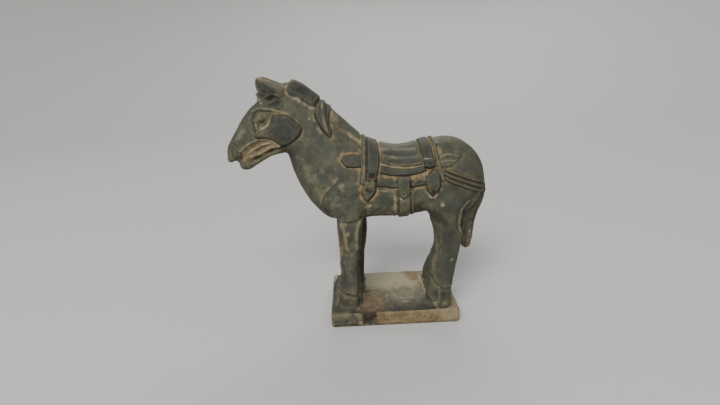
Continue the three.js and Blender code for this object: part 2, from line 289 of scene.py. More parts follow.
def ease(value, low, high):
    """0 below low, 1 above high, smooth between."""
    share = np.clip((value - low) / (high - low), 0, 1)
    return share * share * (3 - 2 * share)


def bell(distance, width):
    return np.exp(-((distance / width) ** 2))


# The legs run into the trunk between these heights.
LEG_TOPS = (81, 92)


def look_from_the_side(place, facing):
    """Places as [x, z], with the far legs level with the near ones; and 1 on outer skin, 0 on inner."""
    flat = place[:, [0, 2]].copy()
    height = place[:, 2]
    below_trunk = 1 - ease(height, *LEG_TOPS)
    for rows, by, ahead in ((FRONT_LEG, FAR_FRONT_SETBACK, True), (HIND_LEG, FAR_HIND_SETBACK, False)):
        back = np.interp(height, [row[1] for row in rows[::-1]], by[::-1]) * below_trunk
        flat[:, 0] -= back * ((place[:, 1] > 0) & ((place[:, 0] < 0) == ahead) & (height > PLINTH[2]))
    outward = facing[:, 1] * np.where(place[:, 1] < 0, -1, 1)
    return flat, (1 - ease(-outward, 0.1, 0.5)) * ease(height, PLINTH[2], PLINTH[2] + 0.6)


# The slip is worn in patches about this many millimetres across.
WEAR_PATCH = 4.5


def read_skin(look=look_from_the_side):
    mesh = horse.data
    skin = SimpleNamespace(place=vertices_mm(mesh), facing=normals_of(mesh.vertices))
    skin.flat, skin.mask = look(skin.place, skin.facing)
    for field in FIELDS:
        values = np.empty(len(mesh.vertices))
        mesh.attributes[field].data.foreach_get("value", values)
        setattr(skin, field, values)
    skin.worn = np.array([noise.noise(Vector(spot) / WEAR_PATCH) for spot in skin.place])
    return skin


def keep(skin):
    for field in FIELDS:
        horse.data.attributes[field].data.foreach_set("value", getattr(skin, field))


def rounded(points, ring=True):
    """The same outline or line with its corners turned into curves."""
    rows = np.array(points, float)
    if not ring:
        return run_through(rows, np.linspace(0, 1, 4 * len(rows) - 3))
    count = len(rows)
    wrapped = np.vstack([rows[-1:], rows, rows[:2]])
    return run_through(wrapped, (1 + np.linspace(0, count, 4 * count, endpoint=False)) / (count + 2))


def circle(centre, radius):
    turn = np.linspace(0, 2 * math.pi, 24, endpoint=False)
    return np.stack([centre[0] + radius * np.cos(turn), centre[1] + radius * np.sin(turn)], axis=1)


def closed(outline):
    return np.vstack([outline, outline[:1]])


def from_line(flat, line, reach=4.0):
    """How far each flat place is from a line, up to reach, and the way there from the line."""
    line = np.array(line, float)
    near = np.flatnonzero(np.all((flat > line.min(0) - reach) & (flat < line.max(0) + reach), axis=1))
    spot = flat[near]
    best = np.full(len(near), float(reach))
    gap = np.zeros_like(spot)
    for start, end in zip(line, line[1:]):
        span = end - start
        share = np.clip((spot - start) @ span / max(span @ span, 1e-9), 0, 1)
        offset = spot - start - share[:, None] * span
        length = np.hypot(offset[:, 0], offset[:, 1])
        closer = length < best
        best[closer] = length[closer]
        gap[closer] = offset[closer]
    distance = np.full(len(flat), float(reach))
    distance[near] = best
    way = np.zeros_like(flat)
    way[near] = gap
    return distance, way


def inside(flat, outline):
    outline = np.array(outline, float)
    near = np.flatnonzero(np.all((flat > outline.min(0)) & (flat < outline.max(0)), axis=1))
    spot = flat[near]
    odd = np.zeros(len(near), bool)
    for start, end in zip(outline, np.roll(outline, -1, axis=0)):
        crosses = (start[1] > spot[:, 1]) != (end[1] > spot[:, 1])
        rise = end[1] - start[1] if end[1] != start[1] else 1
        odd ^= crosses & (spot[:, 0] < start[0] + (spot[:, 1] - start[1]) / rise * (end[0] - start[0]))
    found = np.zeros(len(flat), bool)
    found[near] = odd
    return found


BOTH_SIDES, NEAR_SIDE, FAR_SIDE = (-1, 1), (-1,), (1,)


def refine(shapes, reach, look=look_from_the_side, sides=BOTH_SIDES):
    """Halves the mesh where the edge of a moulded shape is near."""
    mesh = horse.data
    centres = np.empty(len(mesh.polygons) * 3)
    mesh.polygons.foreach_get("center", centres)
    centres = centres.reshape(-1, 3) / MM
    flat, mask = look(centres, normals_of(mesh.polygons))
    chosen = np.zeros(len(flat), bool)
    for shape in shapes:
        chosen |= from_line(flat, shape, reach)[0] < reach
    chosen &= (mask > 0.05) & np.isin(np.where(centres[:, 1] < 0, -1, 1), sides)
    bpy.ops.object.mode_set(mode="EDIT")
    bpy.ops.mesh.select_mode(type="FACE")
    bpy.ops.mesh.select_all(action="DESELECT")
    bpy.ops.object.mode_set(mode="OBJECT")
    mesh.polygons.foreach_set("select", chosen)
    bpy.ops.object.mode_set(mode="EDIT")
    bpy.ops.mesh.subdivide(number_cuts=1, smoothness=0, ngon=False)
    bpy.ops.mesh.select_all(action="DESELECT")
    bpy.ops.object.mode_set(mode="OBJECT")


def tint(skin, field, amount):
    setattr(skin, field, np.maximum(getattr(skin, field), amount * skin.mask))


def wipe(skin, cover, fields=FIELDS[1:]):
    for field in fields:
        setattr(skin, field, getattr(skin, field) * (1 - cover))


# Light comes from above and before the horse: grime with painted shade keeps to the other edges of a raised
# layer, and a painted highlight to the edges facing the light.
PAINTED_LIGHT_FROM = np.array([-0.55, 0.83])
# The tool's cut round a layer, and the bare clay beyond it: how far out, how wide.
CUT_OUT, CUT_WIDTH, CUT_DEPTH = 0.6, 0.45, 0.3
BARE_OUT, BARE_WIDTH = 1.2, 0.95


def plate(skin, outline, height, edge=0.9, halo=0.9, foot=0.8, thick=0.6):
    """A raised layer of clay under a heavy dark slip, with bare ochre clay round it, dirt and painted shade
    at its foot, and a painted cream highlight on its lit edges.
    """
    distance, way = from_line(skin.flat, closed(outline))
    held = inside(skin.flat, outline)
    depth = np.where(held, distance, -distance)
    outward = way * np.where(held, -1, 1)[:, None] / np.maximum(distance, 1e-6)[:, None]
    away_from_light = ease(-(outward @ PAINTED_LIGHT_FROM), -0.4, 0.7)
    bare = 1 - 0.85 * ease(skin.lift, 0.4, 0.9)
    cover = ease(depth, -0.3, edge) * skin.mask
    skin.lift -= CUT_DEPTH * bell(depth + CUT_OUT, CUT_WIDTH) * skin.mask
    skin.lift += cover * np.maximum(height - skin.lift, 0)
    wipe(skin, cover)
    tint(skin, "thick", thick * ease(depth, -0.5, 0.4))
    patchy = np.clip(0.8 + 0.9 * skin.worn, 0.2, 1.2)
    rubbed = bell(depth + BARE_OUT + 0.8 * skin.worn, BARE_WIDTH + 0.5 * skin.worn)
    tint(skin, "ochre", halo * bare * patchy * rubbed)
    # Dirt at the foot all round, with painted shade there on the edges that face away from the light.
    tint(skin, "grime", foot * (0.3 + 0.7 * away_from_light) * bell(depth + 0.1, 0.5))
    # A painted cream highlight just outside the edges that face the light.
    tint(skin, "cream", 0.4 * halo * bare * patchy * (1 - away_from_light) * bell(depth + 0.8, 0.5))


def within(skin, outline, edge):
    """1 well inside an outline and 0 outside it, with a soft edge."""
    distance, _ = from_line(skin.flat, closed(outline), max(4.0, edge))
    held = np.where(inside(skin.flat, outline), distance, -distance)
    return ease(held, -0.3 * edge, 0.9 * edge)


def sink(skin, outline, depth, edge=1.2, **tints):
    """An area pressed below the skin, or only tinted."""
    cover = within(skin, outline, edge)
    skin.lift -= depth * cover * skin.mask
    for field, amount in tints.items():
        tint(skin, field, amount * cover)


def ridge(skin, line, height, width=0.8, **tints):
    """A soft ridge along a line, or a groove where height is below zero."""
    distance, _ = from_line(skin.flat, line, max(4.0, 2.6 * width))
    profile = bell(distance, width)
    skin.lift += height * profile * skin.mask
    for field, amount in tints.items():
        tint(skin, field, amount * profile * np.clip(0.9 + 0.8 * skin.worn, 0.3, 1.1))


def streak(skin, line, width, **tints):
    """An unbroken stain along a line."""
    distance, _ = from_line(skin.flat, rounded(line, False), max(4.0, 2.6 * width))
    for field, amount in tints.items():
        tint(skin, field, amount * bell(distance, width))


def clean(skin, outline, share, edge=2.0, fields=FIELDS[1:]):
    """Thins the tints inside an outline, so the slip shows again."""
    wipe(skin, share * within(skin, outline, edge) * skin.mask, fields)


def draw(skin, *lines):
    """Ridges, grooves or drawn lines, each as (line, height, width, tints), with their corners rounded."""
    for line, height, width, tints in lines:
        ridge(skin, rounded(line, False), height, width, **tints)


def dab(skin, centre, radius, height=0, stretch=1, **tints):
    """A round or drawn-out swelling or dent, or only a stain."""
    distance = np.hypot((skin.flat[:, 0] - centre[0]) / stretch, skin.flat[:, 1] - centre[1])
    profile = bell(distance, radius)
    skin.lift += height * profile * skin.mask
    for field, amount in tints.items():
        tint(skin, field, amount * profile)


# The face: a round cheek, an open mouth between thick lips, and an eye under a hooded brow.
# It was cut into both halves of the mould. Slip lies on its flats, and bare clay shows round the forms.
CHEEK = rounded([
    (-81.8, 151.5), (-79.9, 156.4), (-75.8, 158.1), (-69.3, 156.5), (-65, 152.7), (-61.8, 148.6),
    (-61.7, 145.8), (-64.2, 141.8), (-68.9, 138.2), (-74.5, 135.6), (-78.4, 136.8), (-82.4, 140.2),
    (-88.8, 142), (-93, 141.8), (-95.6, 143.6), (-91, 146.4), (-86, 148.8),
])
MOUTH = rounded([
    (-107.2, 133.4), (-103, 136.2), (-99.1, 138.2), (-92.2, 141.2), (-88.8, 141.9), (-84.2, 141),
    (-80.4, 138.5), (-77.3, 135.6), (-79.3, 133), (-84.5, 130.4), (-89.6, 127.8), (-94.4, 125.2),
    (-99.2, 122.9), (-104.6, 121.6), (-107.4, 127.4),
])
LIP_BANDS = [
    [(-107.5, 132.3), (-101.6, 137), (-93.2, 140.3), (-85.3, 139.6), (-81.4, 137.4), (-78.2, 135.1)],
    [(-101.9, 130.7), (-96.5, 134), (-90.3, 136.7), (-85, 137.7)],
    [(-100.9, 127.9), (-94.8, 129.9), (-89.4, 132.3), (-84.8, 134.3), (-78.9, 134.8)],
]
LIP_GROOVES = [
    [(-104.7, 132.1), (-102, 133.5), (-93.7, 138.4), (-88.3, 139)],
    [(-98.3, 130.8), (-95.9, 132.2), (-91.2, 134.6), (-86.6, 136.2)],
]
MOUTH_FLOOR = [(-99.6, 124.4), (-96, 126.5), (-89.9, 128.8), (-84.3, 132.1), (-78.8, 133.3), (-75.4, 135)]
JAW_EDGE = [(-102.3, 119.9), (-97.6, 122.2), (-93.2, 124.7), (-88, 127.5), (-82.9, 130), (-77.1, 132)]
ORBIT = rounded([
    (-94.6, 145.6), (-95.8, 149.4), (-96.2, 153), (-95.2, 156.6), (-92.4, 159.6), (-87.3, 160.8),
    (-83.4, 160.2), (-82.2, 157), (-84, 152.2), (-88, 148.6), (-92, 146.6),
])
UNDER_BROW = [
    (-94.6, 145.4), (-95.2, 151.3), (-95.6, 155), (-93.4, 159.5), (-91.2, 160.6), (-86.1, 160.4),
    (-81.1, 159.4),
]
ORBIT_RIM = [(-94.8, 161.4), (-97.8, 156.6), (-98.6, 151.4), (-96.8, 145.2)]
UPPER_LID = [(-92.8, 156.2), (-91.7, 158.2), (-88.8, 158.7), (-86.6, 157.7)]
UNDER_BALL = [(-92.9, 153.4), (-91.4, 151.3), (-89, 150.9), (-86.8, 152.4), (-85.5, 155.6)]
LOWER_LID = [(-93.6, 151.2), (-92.8, 148), (-90.1, 148.1), (-86.4, 149.8), (-83.4, 153.2), (-82, 156.8)]
BROW = [(-95.4, 160.2), (-90.6, 162.5), (-87.1, 162.1), (-80.4, 161.1), (-76.4, 159.6)]
EYE = (-89.6, 155.2)
NOSTRIL = [(-112.9, 134.4), (-113.2, 131), (-112.2, 127.6)]
NOSE_FRONT = [(-116, 135.6), (-117.2, 129.4), (-116.4, 124.9)]
NOSE_LIGHT = [(-112.1, 138.1), (-109.4, 140.5), (-102.7, 147.9)]
FOREHEAD_SLIP = [(-101, 150), (-97, 158), (-90, 164)]
HEAD_MIDDLE = [(-112, 133), (-84, 154), (-70, 150)]

face_edges = [
    closed(CHEEK), closed(MOUTH), closed(ORBIT), closed(circle(EYE, 3.4)), LIP_BANDS[1], BROW, NOSTRIL,
]
refine(face_edges, 1.8, sides=FAR_SIDE)
refine([HEAD_MIDDLE], 17.5, sides=NEAR_SIDE)
refine(face_edges, 1.0, sides=NEAR_SIDE)
skin = read_skin()
sink(skin, MOUTH, 0.9, edge=0.8, ochre=0.5, rust=0.3)
draw(
    skin,
    (LIP_BANDS[0], 0.8, 0.85, {"ochre": 0.5, "cream": 0.75}),
    (LIP_BANDS[1], 1.0, 0.8, {"ochre": 0.5, "cream": 0.95}),
    (LIP_BANDS[2], 1.0, 0.9, {"ochre": 0.5, "cream": 0.9}),
    (LIP_GROOVES[0], -0.4, 0.5, {"rust": 0.8}),
    (LIP_GROOVES[1], -0.6, 0.6, {"rust": 0.6, "grime": 0.6}),
    # Painted shade in the deep groove at the floor of the open mouth.
    (MOUTH_FLOOR, -1.1, 1.2, {"grime": 1.0}),
    (JAW_EDGE, 0.5, 0.9, {"ochre": 0.35, "cream": 0.1}),
)
sink(skin, ORBIT, 0.8, edge=1.3, ochre=0.25)
plate(skin, CHEEK, 1.4, edge=1.6, halo=0.6, foot=1.0, thick=0.95)
clean(skin, circle((-87.5, 145), 5), 0.7, edge=4)
clean(skin, circle((-78.5, 151), 3.5), 0.35, edge=4)
dab(skin, (-82.4, 144.5), 3.5, cream=0.25)
dab(skin, (-72.5, 155.6), 0.8, cream=0.6)
plate(skin, circle(EYE, 2.5), 1.5, edge=2.2, halo=0.1, foot=0.7, thick=0.1)
dab(skin, (EYE[0] + 0.9, EYE[1] - 0.4), 1.4, ochre=0.5, rust=0.35)
draw(
    skin,
    (ORBIT_RIM, 0.5, 0.9, {"ochre": 0.2, "cream": 0.3}),
    (LOWER_LID, 0.7, 0.8, {"ochre": 0.5, "cream": 0.85}),
    (UNDER_BALL, -0.5, 0.55, {"grime": 0.55, "rust": 0.8}),
    (UPPER_LID, 0.4, 0.5, {"cream": 0.45}),
    (UNDER_BROW, -0.6, 0.55, {"grime": 0.7, "rust": 0.5}),
    (BROW, 0.8, 0.8, {"ochre": 0.4, "cream": 0.55}),
    (NOSTRIL, -0.6, 0.8, {"grime": 0.45, "rust": 0.3}),
    (NOSE_FRONT, 0.1, 0.9, {"cream": 0.4}),
    (NOSE_LIGHT, 0.1, 3.0, {"cream": 0.36}),
    (FOREHEAD_SLIP, 0, 4.5, {"thick": 0.35}),
)
# A painted highlight on the eyeball.
dab(skin, (EYE[0] - 0.4, EYE[1] + 0.9), 1.0, cream=0.6)
for spot, size in (((-106.9, 128.8), 1.6), ((-105, 125.2), 1.5), ((-102.4, 122.9), 1.3)):
    dab(skin, spot, size, 0.5, cream=0.3)
dab(skin, (-104.5, 123.4), 3.2, grime=0.42)
for spot in ((-107.6, 126.6), (-104.4, 127.2), (-101.6, 121.2)):
    dab(skin, spot, 0.9, -0.3, grime=0.5)
# Painted shade under the throat, where it faces down.
dab(skin, (-71, 131), 6, grime=0.55, thick=0.8)
dab(skin, (-77.4, 132.4), 1.6, rust=0.8, grime=0.5)
dab(skin, (-75.4, 131.8), 2.6, 0.2, rust=0.7, ochre=0.3, grime=0.55)
dab(skin, (-71.7, 133.3), 1.6, 0.4, rust=0.8)
dab(skin, (-71.7, 133.5), 0.7, cream=0.6)
keep(skin)


# Ears and mane: two pricked ears with hollow shells below, a forelock between them, and a cropped mane
# that ends in a hanging lock. The hair is a flat layer with a few strands drawn in it.
EAR_RING = rounded([
    (-85.9, 167.6), (-84.2, 170.2), (-80.6, 171.9), (-77.2, 171.2), (-74.4, 168.8), (-73.4, 166),
    (-75, 163.6), (-78.2, 162.4), (-82.2, 162.8), (-85.2, 164.8),
])
EAR_UPPER_HOLLOW = rounded([
    (-84.2, 167.6), (-82.4, 169.9), (-80, 170.6), (-77.6, 169.6), (-80.3, 167.9), (-82.9, 166.6),
])
EAR_LOWER_HOLLOW = rounded([
    (-84, 164.2), (-80.5, 165.7), (-77.1, 167), (-75, 165.8), (-76.3, 164), (-80, 163.4),
])
EAR_TONGUE = rounded([(-84.3, 165.3), (-80.8, 166.9), (-77, 168.2)], False)
EAR_FACE = rounded([
    (-91.2, 182.4), (-87.6, 181), (-82, 178), (-77.5, 175.4), (-76.6, 171.8), (-82.4, 171),
    (-87.6, 173), (-90.8, 177.8),
])
EAR_FRONT = rounded([(-90.8, 181), (-89.5, 177.2), (-86.9, 172.9)], False)
EAR_TOP = rounded([(-90.6, 183.2), (-85.4, 181.7), (-80, 179.5), (-75.4, 177.7)], False)
BEHIND_EAR = rounded([(-71.7, 177.8), (-71.3, 173.9), (-73.9, 172.2)], False)
TUFT = [(-92.4, 171.8), (-91.2, 168.6), (-89.4, 166.6), (-88.2, 164.6)]
MANE_BLOCK = np.array([
    (-66.8, 187), (-69.3, 178.4), (-70.7, 174), (-69.4, 170.9), (-66.2, 169.6), (-62.6, 168.6),
    (-59.6, 165.8), (-55, 162.6), (-51.6, 161.6), (-49, 164.6), (-46, 168), (-42, 177),
])
MANE_FACE = rounded([
    (-67.6, 174), (-65.6, 171), (-59.5, 168.4), (-53.4, 164.4), (-50.4, 166), (-56, 171.6), (-63, 175.6),
])
MANE_RIM = rounded([(-68.2, 181), (-69.4, 177.8), (-70.6, 173.8), (-69.4, 170.8), (-66.4, 169.2)], False)
MANE_UNDER = rounded([(-66.6, 168.7), (-62.8, 167.8), (-59.9, 164.9), (-55, 161.6), (-51.6, 160.6)], False)
MANE_TOP = [(-69.7, 177.6), (-65.6, 180.3), (-60.9, 178.2), (-54.7, 174), (-47.6, 167.8)]
MANE_TOP_GROOVE = [(-63.4, 177.6), (-59, 175.2), (-52.9, 170.6), (-47.4, 165.4)]
MANE_LOCK = rounded([
    (-44, 168.4), (-49.4, 164.6), (-52, 158.8), (-51.6, 154.4), (-49, 149.4), (-45.8, 144.2),
    (-41.6, 140.6), (-40.4, 143.6), (-41.4, 149.2), (-41.8, 155), (-40.4, 160.6), (-40, 164.6),
])
LOCK_DARK = rounded([(-50.6, 162.6), (-51.2, 156.4), (-49.2, 151), (-46.2, 145.4), (-42.4, 141.6)], False)
LOCK_STRANDS = [
    [(-47.1, 163), (-46.4, 156), (-45, 149.4), (-43.2, 144.6)],
    [(-42, 162.4), (-41.8, 156.4), (-41, 150.4), (-41.2, 146.4)],
]
LOCK_GROOVE = [(-44.4, 163), (-43.8, 156), (-42.8, 150), (-41.9, 145)]
LOCK_HALO = [(-52.4, 160.5), (-52.2, 152), (-49, 145.4), (-44.4, 139.4), (-41.2, 141)]
CREST_STREAKS = [
    [(-41, 163), (-40.2, 157), (-38.6, 151.4)],
    [(-28.8, 142.4), (-26, 139.9), (-22.6, 137.8), (-19.2, 136.4)],
]
MANE_CREST = rounded([
    (-56, 179), (-47, 163.6), (-39.6, 155.8), (-33.9, 148), (-28.2, 141.8), (-21.4, 137.8), (-18, 149),
    (-30, 167),
])

hair_edges = [
    EAR_FRONT, closed(EAR_RING), EAR_TONGUE, MANE_RIM, MANE_UNDER, MANE_TOP, closed(MANE_LOCK),
    LOCK_GROOVE, MANE_CREST[8:24],
]
refine(hair_edges, 2.4)
refine(hair_edges[1:8], 0.9, sides=NEAR_SIDE)
skin = read_skin()
plate(skin, MANE_CREST, 0.9, edge=1.6, halo=0.3, foot=0.3, thick=0.2)
plate(skin, MANE_BLOCK, 2.2, edge=1.9, halo=0.4, foot=0.5, thick=1.0)
sink(skin, MANE_FACE, 0, edge=2.5, grime=0.5)
clean(skin, circle((-55.5, 167.5), 4), 0.4, edge=4)
plate(skin, MANE_LOCK, 1.6, edge=1.3, halo=0.4, foot=0.6, thick=0.8)
sink(skin, EAR_FACE, 0.3, edge=1.6, thick=1.0, grime=0.42)
sink(skin, EAR_RING, 0.2, edge=0.8, thick=0.3)
sink(skin, EAR_UPPER_HOLLOW, 0.8, edge=1.0, grime=0.12, thick=0.9)
sink(skin, EAR_LOWER_HOLLOW, 1.0, edge=1.0, grime=0.2, thick=0.9)
draw(
    skin,
    (MANE_RIM, 0.4, 1.0, {"ochre": 0.5, "cream": 0.55}),
    (MANE_UNDER, 0, 1.8, {"ochre": 0.3, "cream": 0.6}),
    (MANE_TOP, 0.3, 1.7, {"ochre": 0.5, "cream": 0.8}),
    (MANE_TOP_GROOVE, -0.35, 0.7, {"rust": 0.7, "grime": 0.4}),
    (LOCK_DARK, -0.5, 0.8, {"grime": 0.75}),
    (LOCK_STRANDS[0], 0.4, 0.9, {"ochre": 0.7, "cream": 0.6}),
    (LOCK_STRANDS[1], 0.3, 0.7, {"ochre": 0.6, "cream": 0.45}),
    (LOCK_GROOVE, -0.6, 0.5, {"grime": 0.7, "rust": 0.6}),
    (LOCK_HALO, 0, 1.1, {"cream": 0.4}),
    ([(-41.4, 158.6), (-38.4, 155.4), (-36.4, 151.6)], 0, 2.0, {"ochre": 0.6, "cream": 0.25}),
    (CREST_STREAKS[0], 0, 1.2, {"ochre": 0.9, "cream": 0.5}),
    (CREST_STREAKS[1], 0, 1.2, {"ochre": 0.9, "cream": 0.5}),
    (closed(EAR_RING), 0.8, 0.8, {"ochre": 0.2, "cream": 0.2}),
    (EAR_TONGUE, 0.5, 0.6, {"cream": 0.25}),
    (EAR_FRONT, -0.4, 1.2, {"grime": 0.25}),
    (EAR_TOP, 0, 1.0, {"cream": 0.5, "ochre": 0.5}),
    (BEHIND_EAR, -0.6, 1.3, {"rust": 0.45, "ochre": 0.6}),
)
dab(skin, (-75.4, 174.6), 2.4, ochre=0.45, rust=0.2)
for spot in TUFT:
    dab(skin, spot, 1.3, 0.7, rust=0.5, ochre=0.9)
for spot in ((-92.6, 171.6), (-91.8, 169.8), (-90.2, 167.6), (-88.6, 165.8)):
    dab(skin, spot, 0.8, cream=0.9)
for spot in ((-65.4, 167.6), (-62.4, 166.4), (-58.4, 164), (-53.9, 161.9), (-50.6, 162.6)):
    dab(skin, spot, 1.7, 0.2, ochre=0.6, cream=0.4)
keep(skin)


# The harness is flat layers of clay, pressed in the mould over the back and the same on both sides: a breast
# tab, two front straps, a pad with its band, a flank strap, a girth, rear straps, a leaf and the crupper.
FRONT_TAB = [
    (-35, 125.2), (-32.6, 128.2), (-27, 128.6), (-18, 127.8), (-18, 119.8), (-26, 120.2), (-31.4, 120.6),
]
FRONT_STRAP = [
    (-19.4, 151), (-20, 134), (-20.7, 124.7), (-21.6, 114.8), (-22.2, 109.4), (-20, 107.4), (-17.6, 109),
    (-17.2, 124.6), (-16.2, 151),
]
GIRTH_STRAP = [
    (-16.4, 151), (-16.6, 131), (-16.9, 117), (-15.4, 113), (-10.4, 113), (-8.6, 119), (-7.6, 125),
    (-8.4, 135), (-8, 151),
]
FRONT_BUCKLE = [(-16.6, 116.2), (-16.4, 110.6), (-10.4, 110.6), (-10.2, 116.2)]
FRONT_BUCKLE_HOLE = [(-15.6, 115.7), (-15.6, 112.1), (-11.1, 112.0), (-11.0, 115.6)]
FRONT_PENDANT = rounded([
    (-17.4, 111.2), (-19, 108.8), (-20.6, 105.6), (-21.4, 102.6), (-20.2, 99.4), (-18, 95.6), (-14.6, 98.6),
    (-11.6, 102.4), (-11, 106.4), (-11.4, 111.2),
])
PAD = [(-6.2, 151), (-6.3, 122.2), (0, 120), (8.3, 118.9), (16, 119.2), (23, 120.4), (21.4, 129), (20, 151)]
PAD_BAND = [
    (-7.2, 120.4), (-7.6, 115.4), (0, 113.4), (8.6, 112.7), (16.6, 113.6), (24.4, 115.8), (23.8, 119.4),
    (16, 117.7), (8.3, 117.3), (0, 118.4),
]
STRAP_SEAM = [(-15.8, 151), (-15.9, 133), (-16.6, 118)]
STRAP_LIGHT = [(-17.3, 146), (-17.4, 137), (-18.3, 126), (-19.4, 112)]
PAD_SHADE = [(-6, 123.6), (4.2, 121.8), (12, 121.2), (20.6, 122.2)]
PAD_DARK_HIGH = [(4, 131), (9, 130), (14, 130.4), (19, 131)]
PAD_DARK_LOW = [(-4.6, 127.4), (4, 126.2), (12, 125.8), (17, 126.2)]
PAD_GAP = [(-6.6, 121.3), (2, 119.3), (12, 118.3), (22.8, 120)]
PAD_STREAKS = [
    [(-4.8, 129.6), (2.8, 128.8), (10.3, 128.3), (18.6, 128.9)],
    [(-4.8, 125.9), (2.1, 124.4), (9.5, 123.8), (19.4, 124.6)],
    [(-5, 132.6), (4, 130.9), (12, 130.6), (18.4, 131.6)],
]
FLANK_STRAP = [
    (-11, 112.2), (-11, 106.6), (4, 104.8), (14, 105), (25, 106.4), (25, 112.4), (14, 110.8), (4, 110.6),
]
FLANK_FOOT = [(-8.8, 106), (3.6, 104.4), (14.4, 104.7), (24.4, 106)]
GIRTH = [(4.4, 112.2), (4.2, 103), (4.8, 92), (5.6, 61), (13.6, 61), (13.4, 81), (13, 96), (13, 112.4)]
GIRTH_TAB = rounded([
    (4.7, 112), (4.5, 107), (4.8, 101.6), (6.2, 98.2), (8.6, 96.8), (11, 98.2), (12.4, 101.6), (12.7, 107),
    (12.8, 112),
])
GIRTH_CORD = rounded([(15.2, 105.4), (14.8, 99), (14.9, 91), (15.3, 83), (15.2, 77)], False)
GIRTH_FRONT_CORD = rounded([(3.2, 104.4), (2.6, 101), (2, 97), (2.2, 90), (3.2, 81)], False)
GIRTH_FRONT_EDGE = [(4.9, 112), (4.6, 98), (5.1, 84), (5.5, 74)]
GIRTH_BACK_EDGE = [(13.1, 112), (13.3, 103), (13.4, 84), (13.5, 74)]
GIRTH_RING = (8.0, 100.5)
PENDANT_PITS = [(-17.7, 104.6), (-17, 103.6), (-15.4, 102.9), (-14.3, 103.2)]
REAR_STRAP = [
    (21.6, 151), (21.8, 134), (22.2, 128), (23.6, 120), (30.6, 120), (29.6, 128.6), (29.2, 134), (28.6, 151),
]
REAR_BUCKLE = [(23.2, 122.8), (23.4, 118.2), (27, 117.2), (30.8, 118.4), (31, 122.8)]
REAR_CORD = rounded([
    (30.2, 151), (30.4, 142), (30.6, 135), (31, 125), (32.2, 117), (33.6, 111), (35.6, 107.6),
    (37.4, 109.4), (35.6, 115.6), (33.4, 125), (32.8, 135), (32.6, 143), (32.4, 151),
])
REAR_PENDANT = rounded([
    (30.2, 117.2), (27, 114.8), (24.6, 112.2), (23.9, 107), (24.6, 102.4), (26.4, 100), (28.8, 98),
    (31.4, 100.8), (33.8, 104), (34.2, 109), (33, 113.6),
])
REAR_LEAF = rounded([
    (33.8, 126.4), (37.9, 127), (42.7, 126.8), (46.3, 125.2), (50.4, 125.4), (47, 122.2), (43.7, 119.4),
    (39, 117.6), (34.8, 118),
])
LEAF_LINES = [
    [(34.6, 123.8), (37.8, 125.3), (42, 125.5), (46.1, 124.4)],
    [(34.9, 120.9), (39.1, 122), (42.9, 121.7), (45.4, 121.2)],
]
LEAF_SLIT = [(39.4, 123.8), (42.2, 123.3), (45.1, 122.8)]
LEAF_FOOT = [(36.3, 118.6), (40.4, 117.7), (46.2, 119.8), (51, 124)]
RUMP_BARE = [(34, 141), (34.4, 133), (34.8, 126.6)]
PENDANT_TIP = [(24.2, 101.4), (26.6, 98), (28.8, 96.2), (31.8, 98.8)]
CRUPPER_TOP = np.array([(36.4, 117.9), (44.5, 114.7), (53.5, 111), (66.4, 106), (76, 102)])
CRUPPER_BOTTOM = np.array([(36.6, 108.8), (44.3, 104.9), (53.6, 100.7), (66.6, 95.2), (76, 91)])
CRUPPER_BANDS = 3
CRUPPER_FADE = (65, 70)

bands = []
for band in range(CRUPPER_BANDS):
    upper = CRUPPER_TOP + (CRUPPER_BOTTOM - CRUPPER_TOP) * (band + 0.06) / CRUPPER_BANDS
    lower = CRUPPER_TOP + (CRUPPER_BOTTOM - CRUPPER_TOP) * (band + 0.84) / CRUPPER_BANDS
    bands.append(np.vstack([upper, lower[::-1]]))

straps = [
    FRONT_TAB, PAD, PAD_BAND, FLANK_STRAP, GIRTH, FRONT_STRAP, GIRTH_STRAP, REAR_STRAP, REAR_CORD,
    REAR_LEAF, GIRTH_TAB, FRONT_PENDANT, REAR_PENDANT, FRONT_BUCKLE, REAR_BUCKLE, *bands,
]
edges = [closed(outline) for outline in straps] + [GIRTH_CORD, GIRTH_FRONT_CORD]
girth_rings = [closed(circle(GIRTH_RING, radius)) for radius in (1.2, 2.6)]
refine(edges, 1.9)
refine(edges, 0.75, sides=NEAR_SIDE)
refine([PENDANT_PITS, *girth_rings], 1.3, sides=NEAR_SIDE)
skin = read_skin()
plate(skin, PAD, 0.9, foot=0.6, thick=0.1)
for line in PAD_STREAKS:
    ridge(skin, rounded(line, False), 0.15, 0.8, cream=0.5)
draw(
    skin,
    (PAD_SHADE, 0, 1.2, {"thick": 0.9}),
    (PAD_DARK_HIGH, -0.1, 1.0, {"thick": 0.9, "grime": 0.3}),
    (PAD_DARK_LOW, -0.1, 0.9, {"thick": 0.9, "grime": 0.3}),
)
plate(skin, FLANK_STRAP, 0.9, halo=1.0, foot=0.8, thick=0.75)
for spot, size in (
    ((-8.8, 111), 1.5), ((2.2, 110.6), 1.8), ((2.4, 107.8), 1.3), ((14.4, 111.2), 2.0),
    ((16.6, 109.6), 2.0), ((19.4, 111.4), 2.2), ((22.4, 110.2), 2.0), ((14.6, 107), 1.2),
):
    clean(skin, circle(spot, size), 0.6)
    dab(skin, spot, size, ochre=0.95, cream=0.2)
plate(skin, PAD_BAND, 1.1, halo=0.6, foot=0.8, thick=0.85)
draw(
    skin,
    # Painted shade along the foot of the flank strap's lower edge.
    (FLANK_FOOT, -0.3, 0.7, {"grime": 0.9, "rust": 0.6}),
    (PAD_GAP, 0, 0.8, {"cream": 0.6, "ochre": 0.5}),
)
plate(skin, FRONT_TAB, 1.5, halo=0.9, thick=0.75)
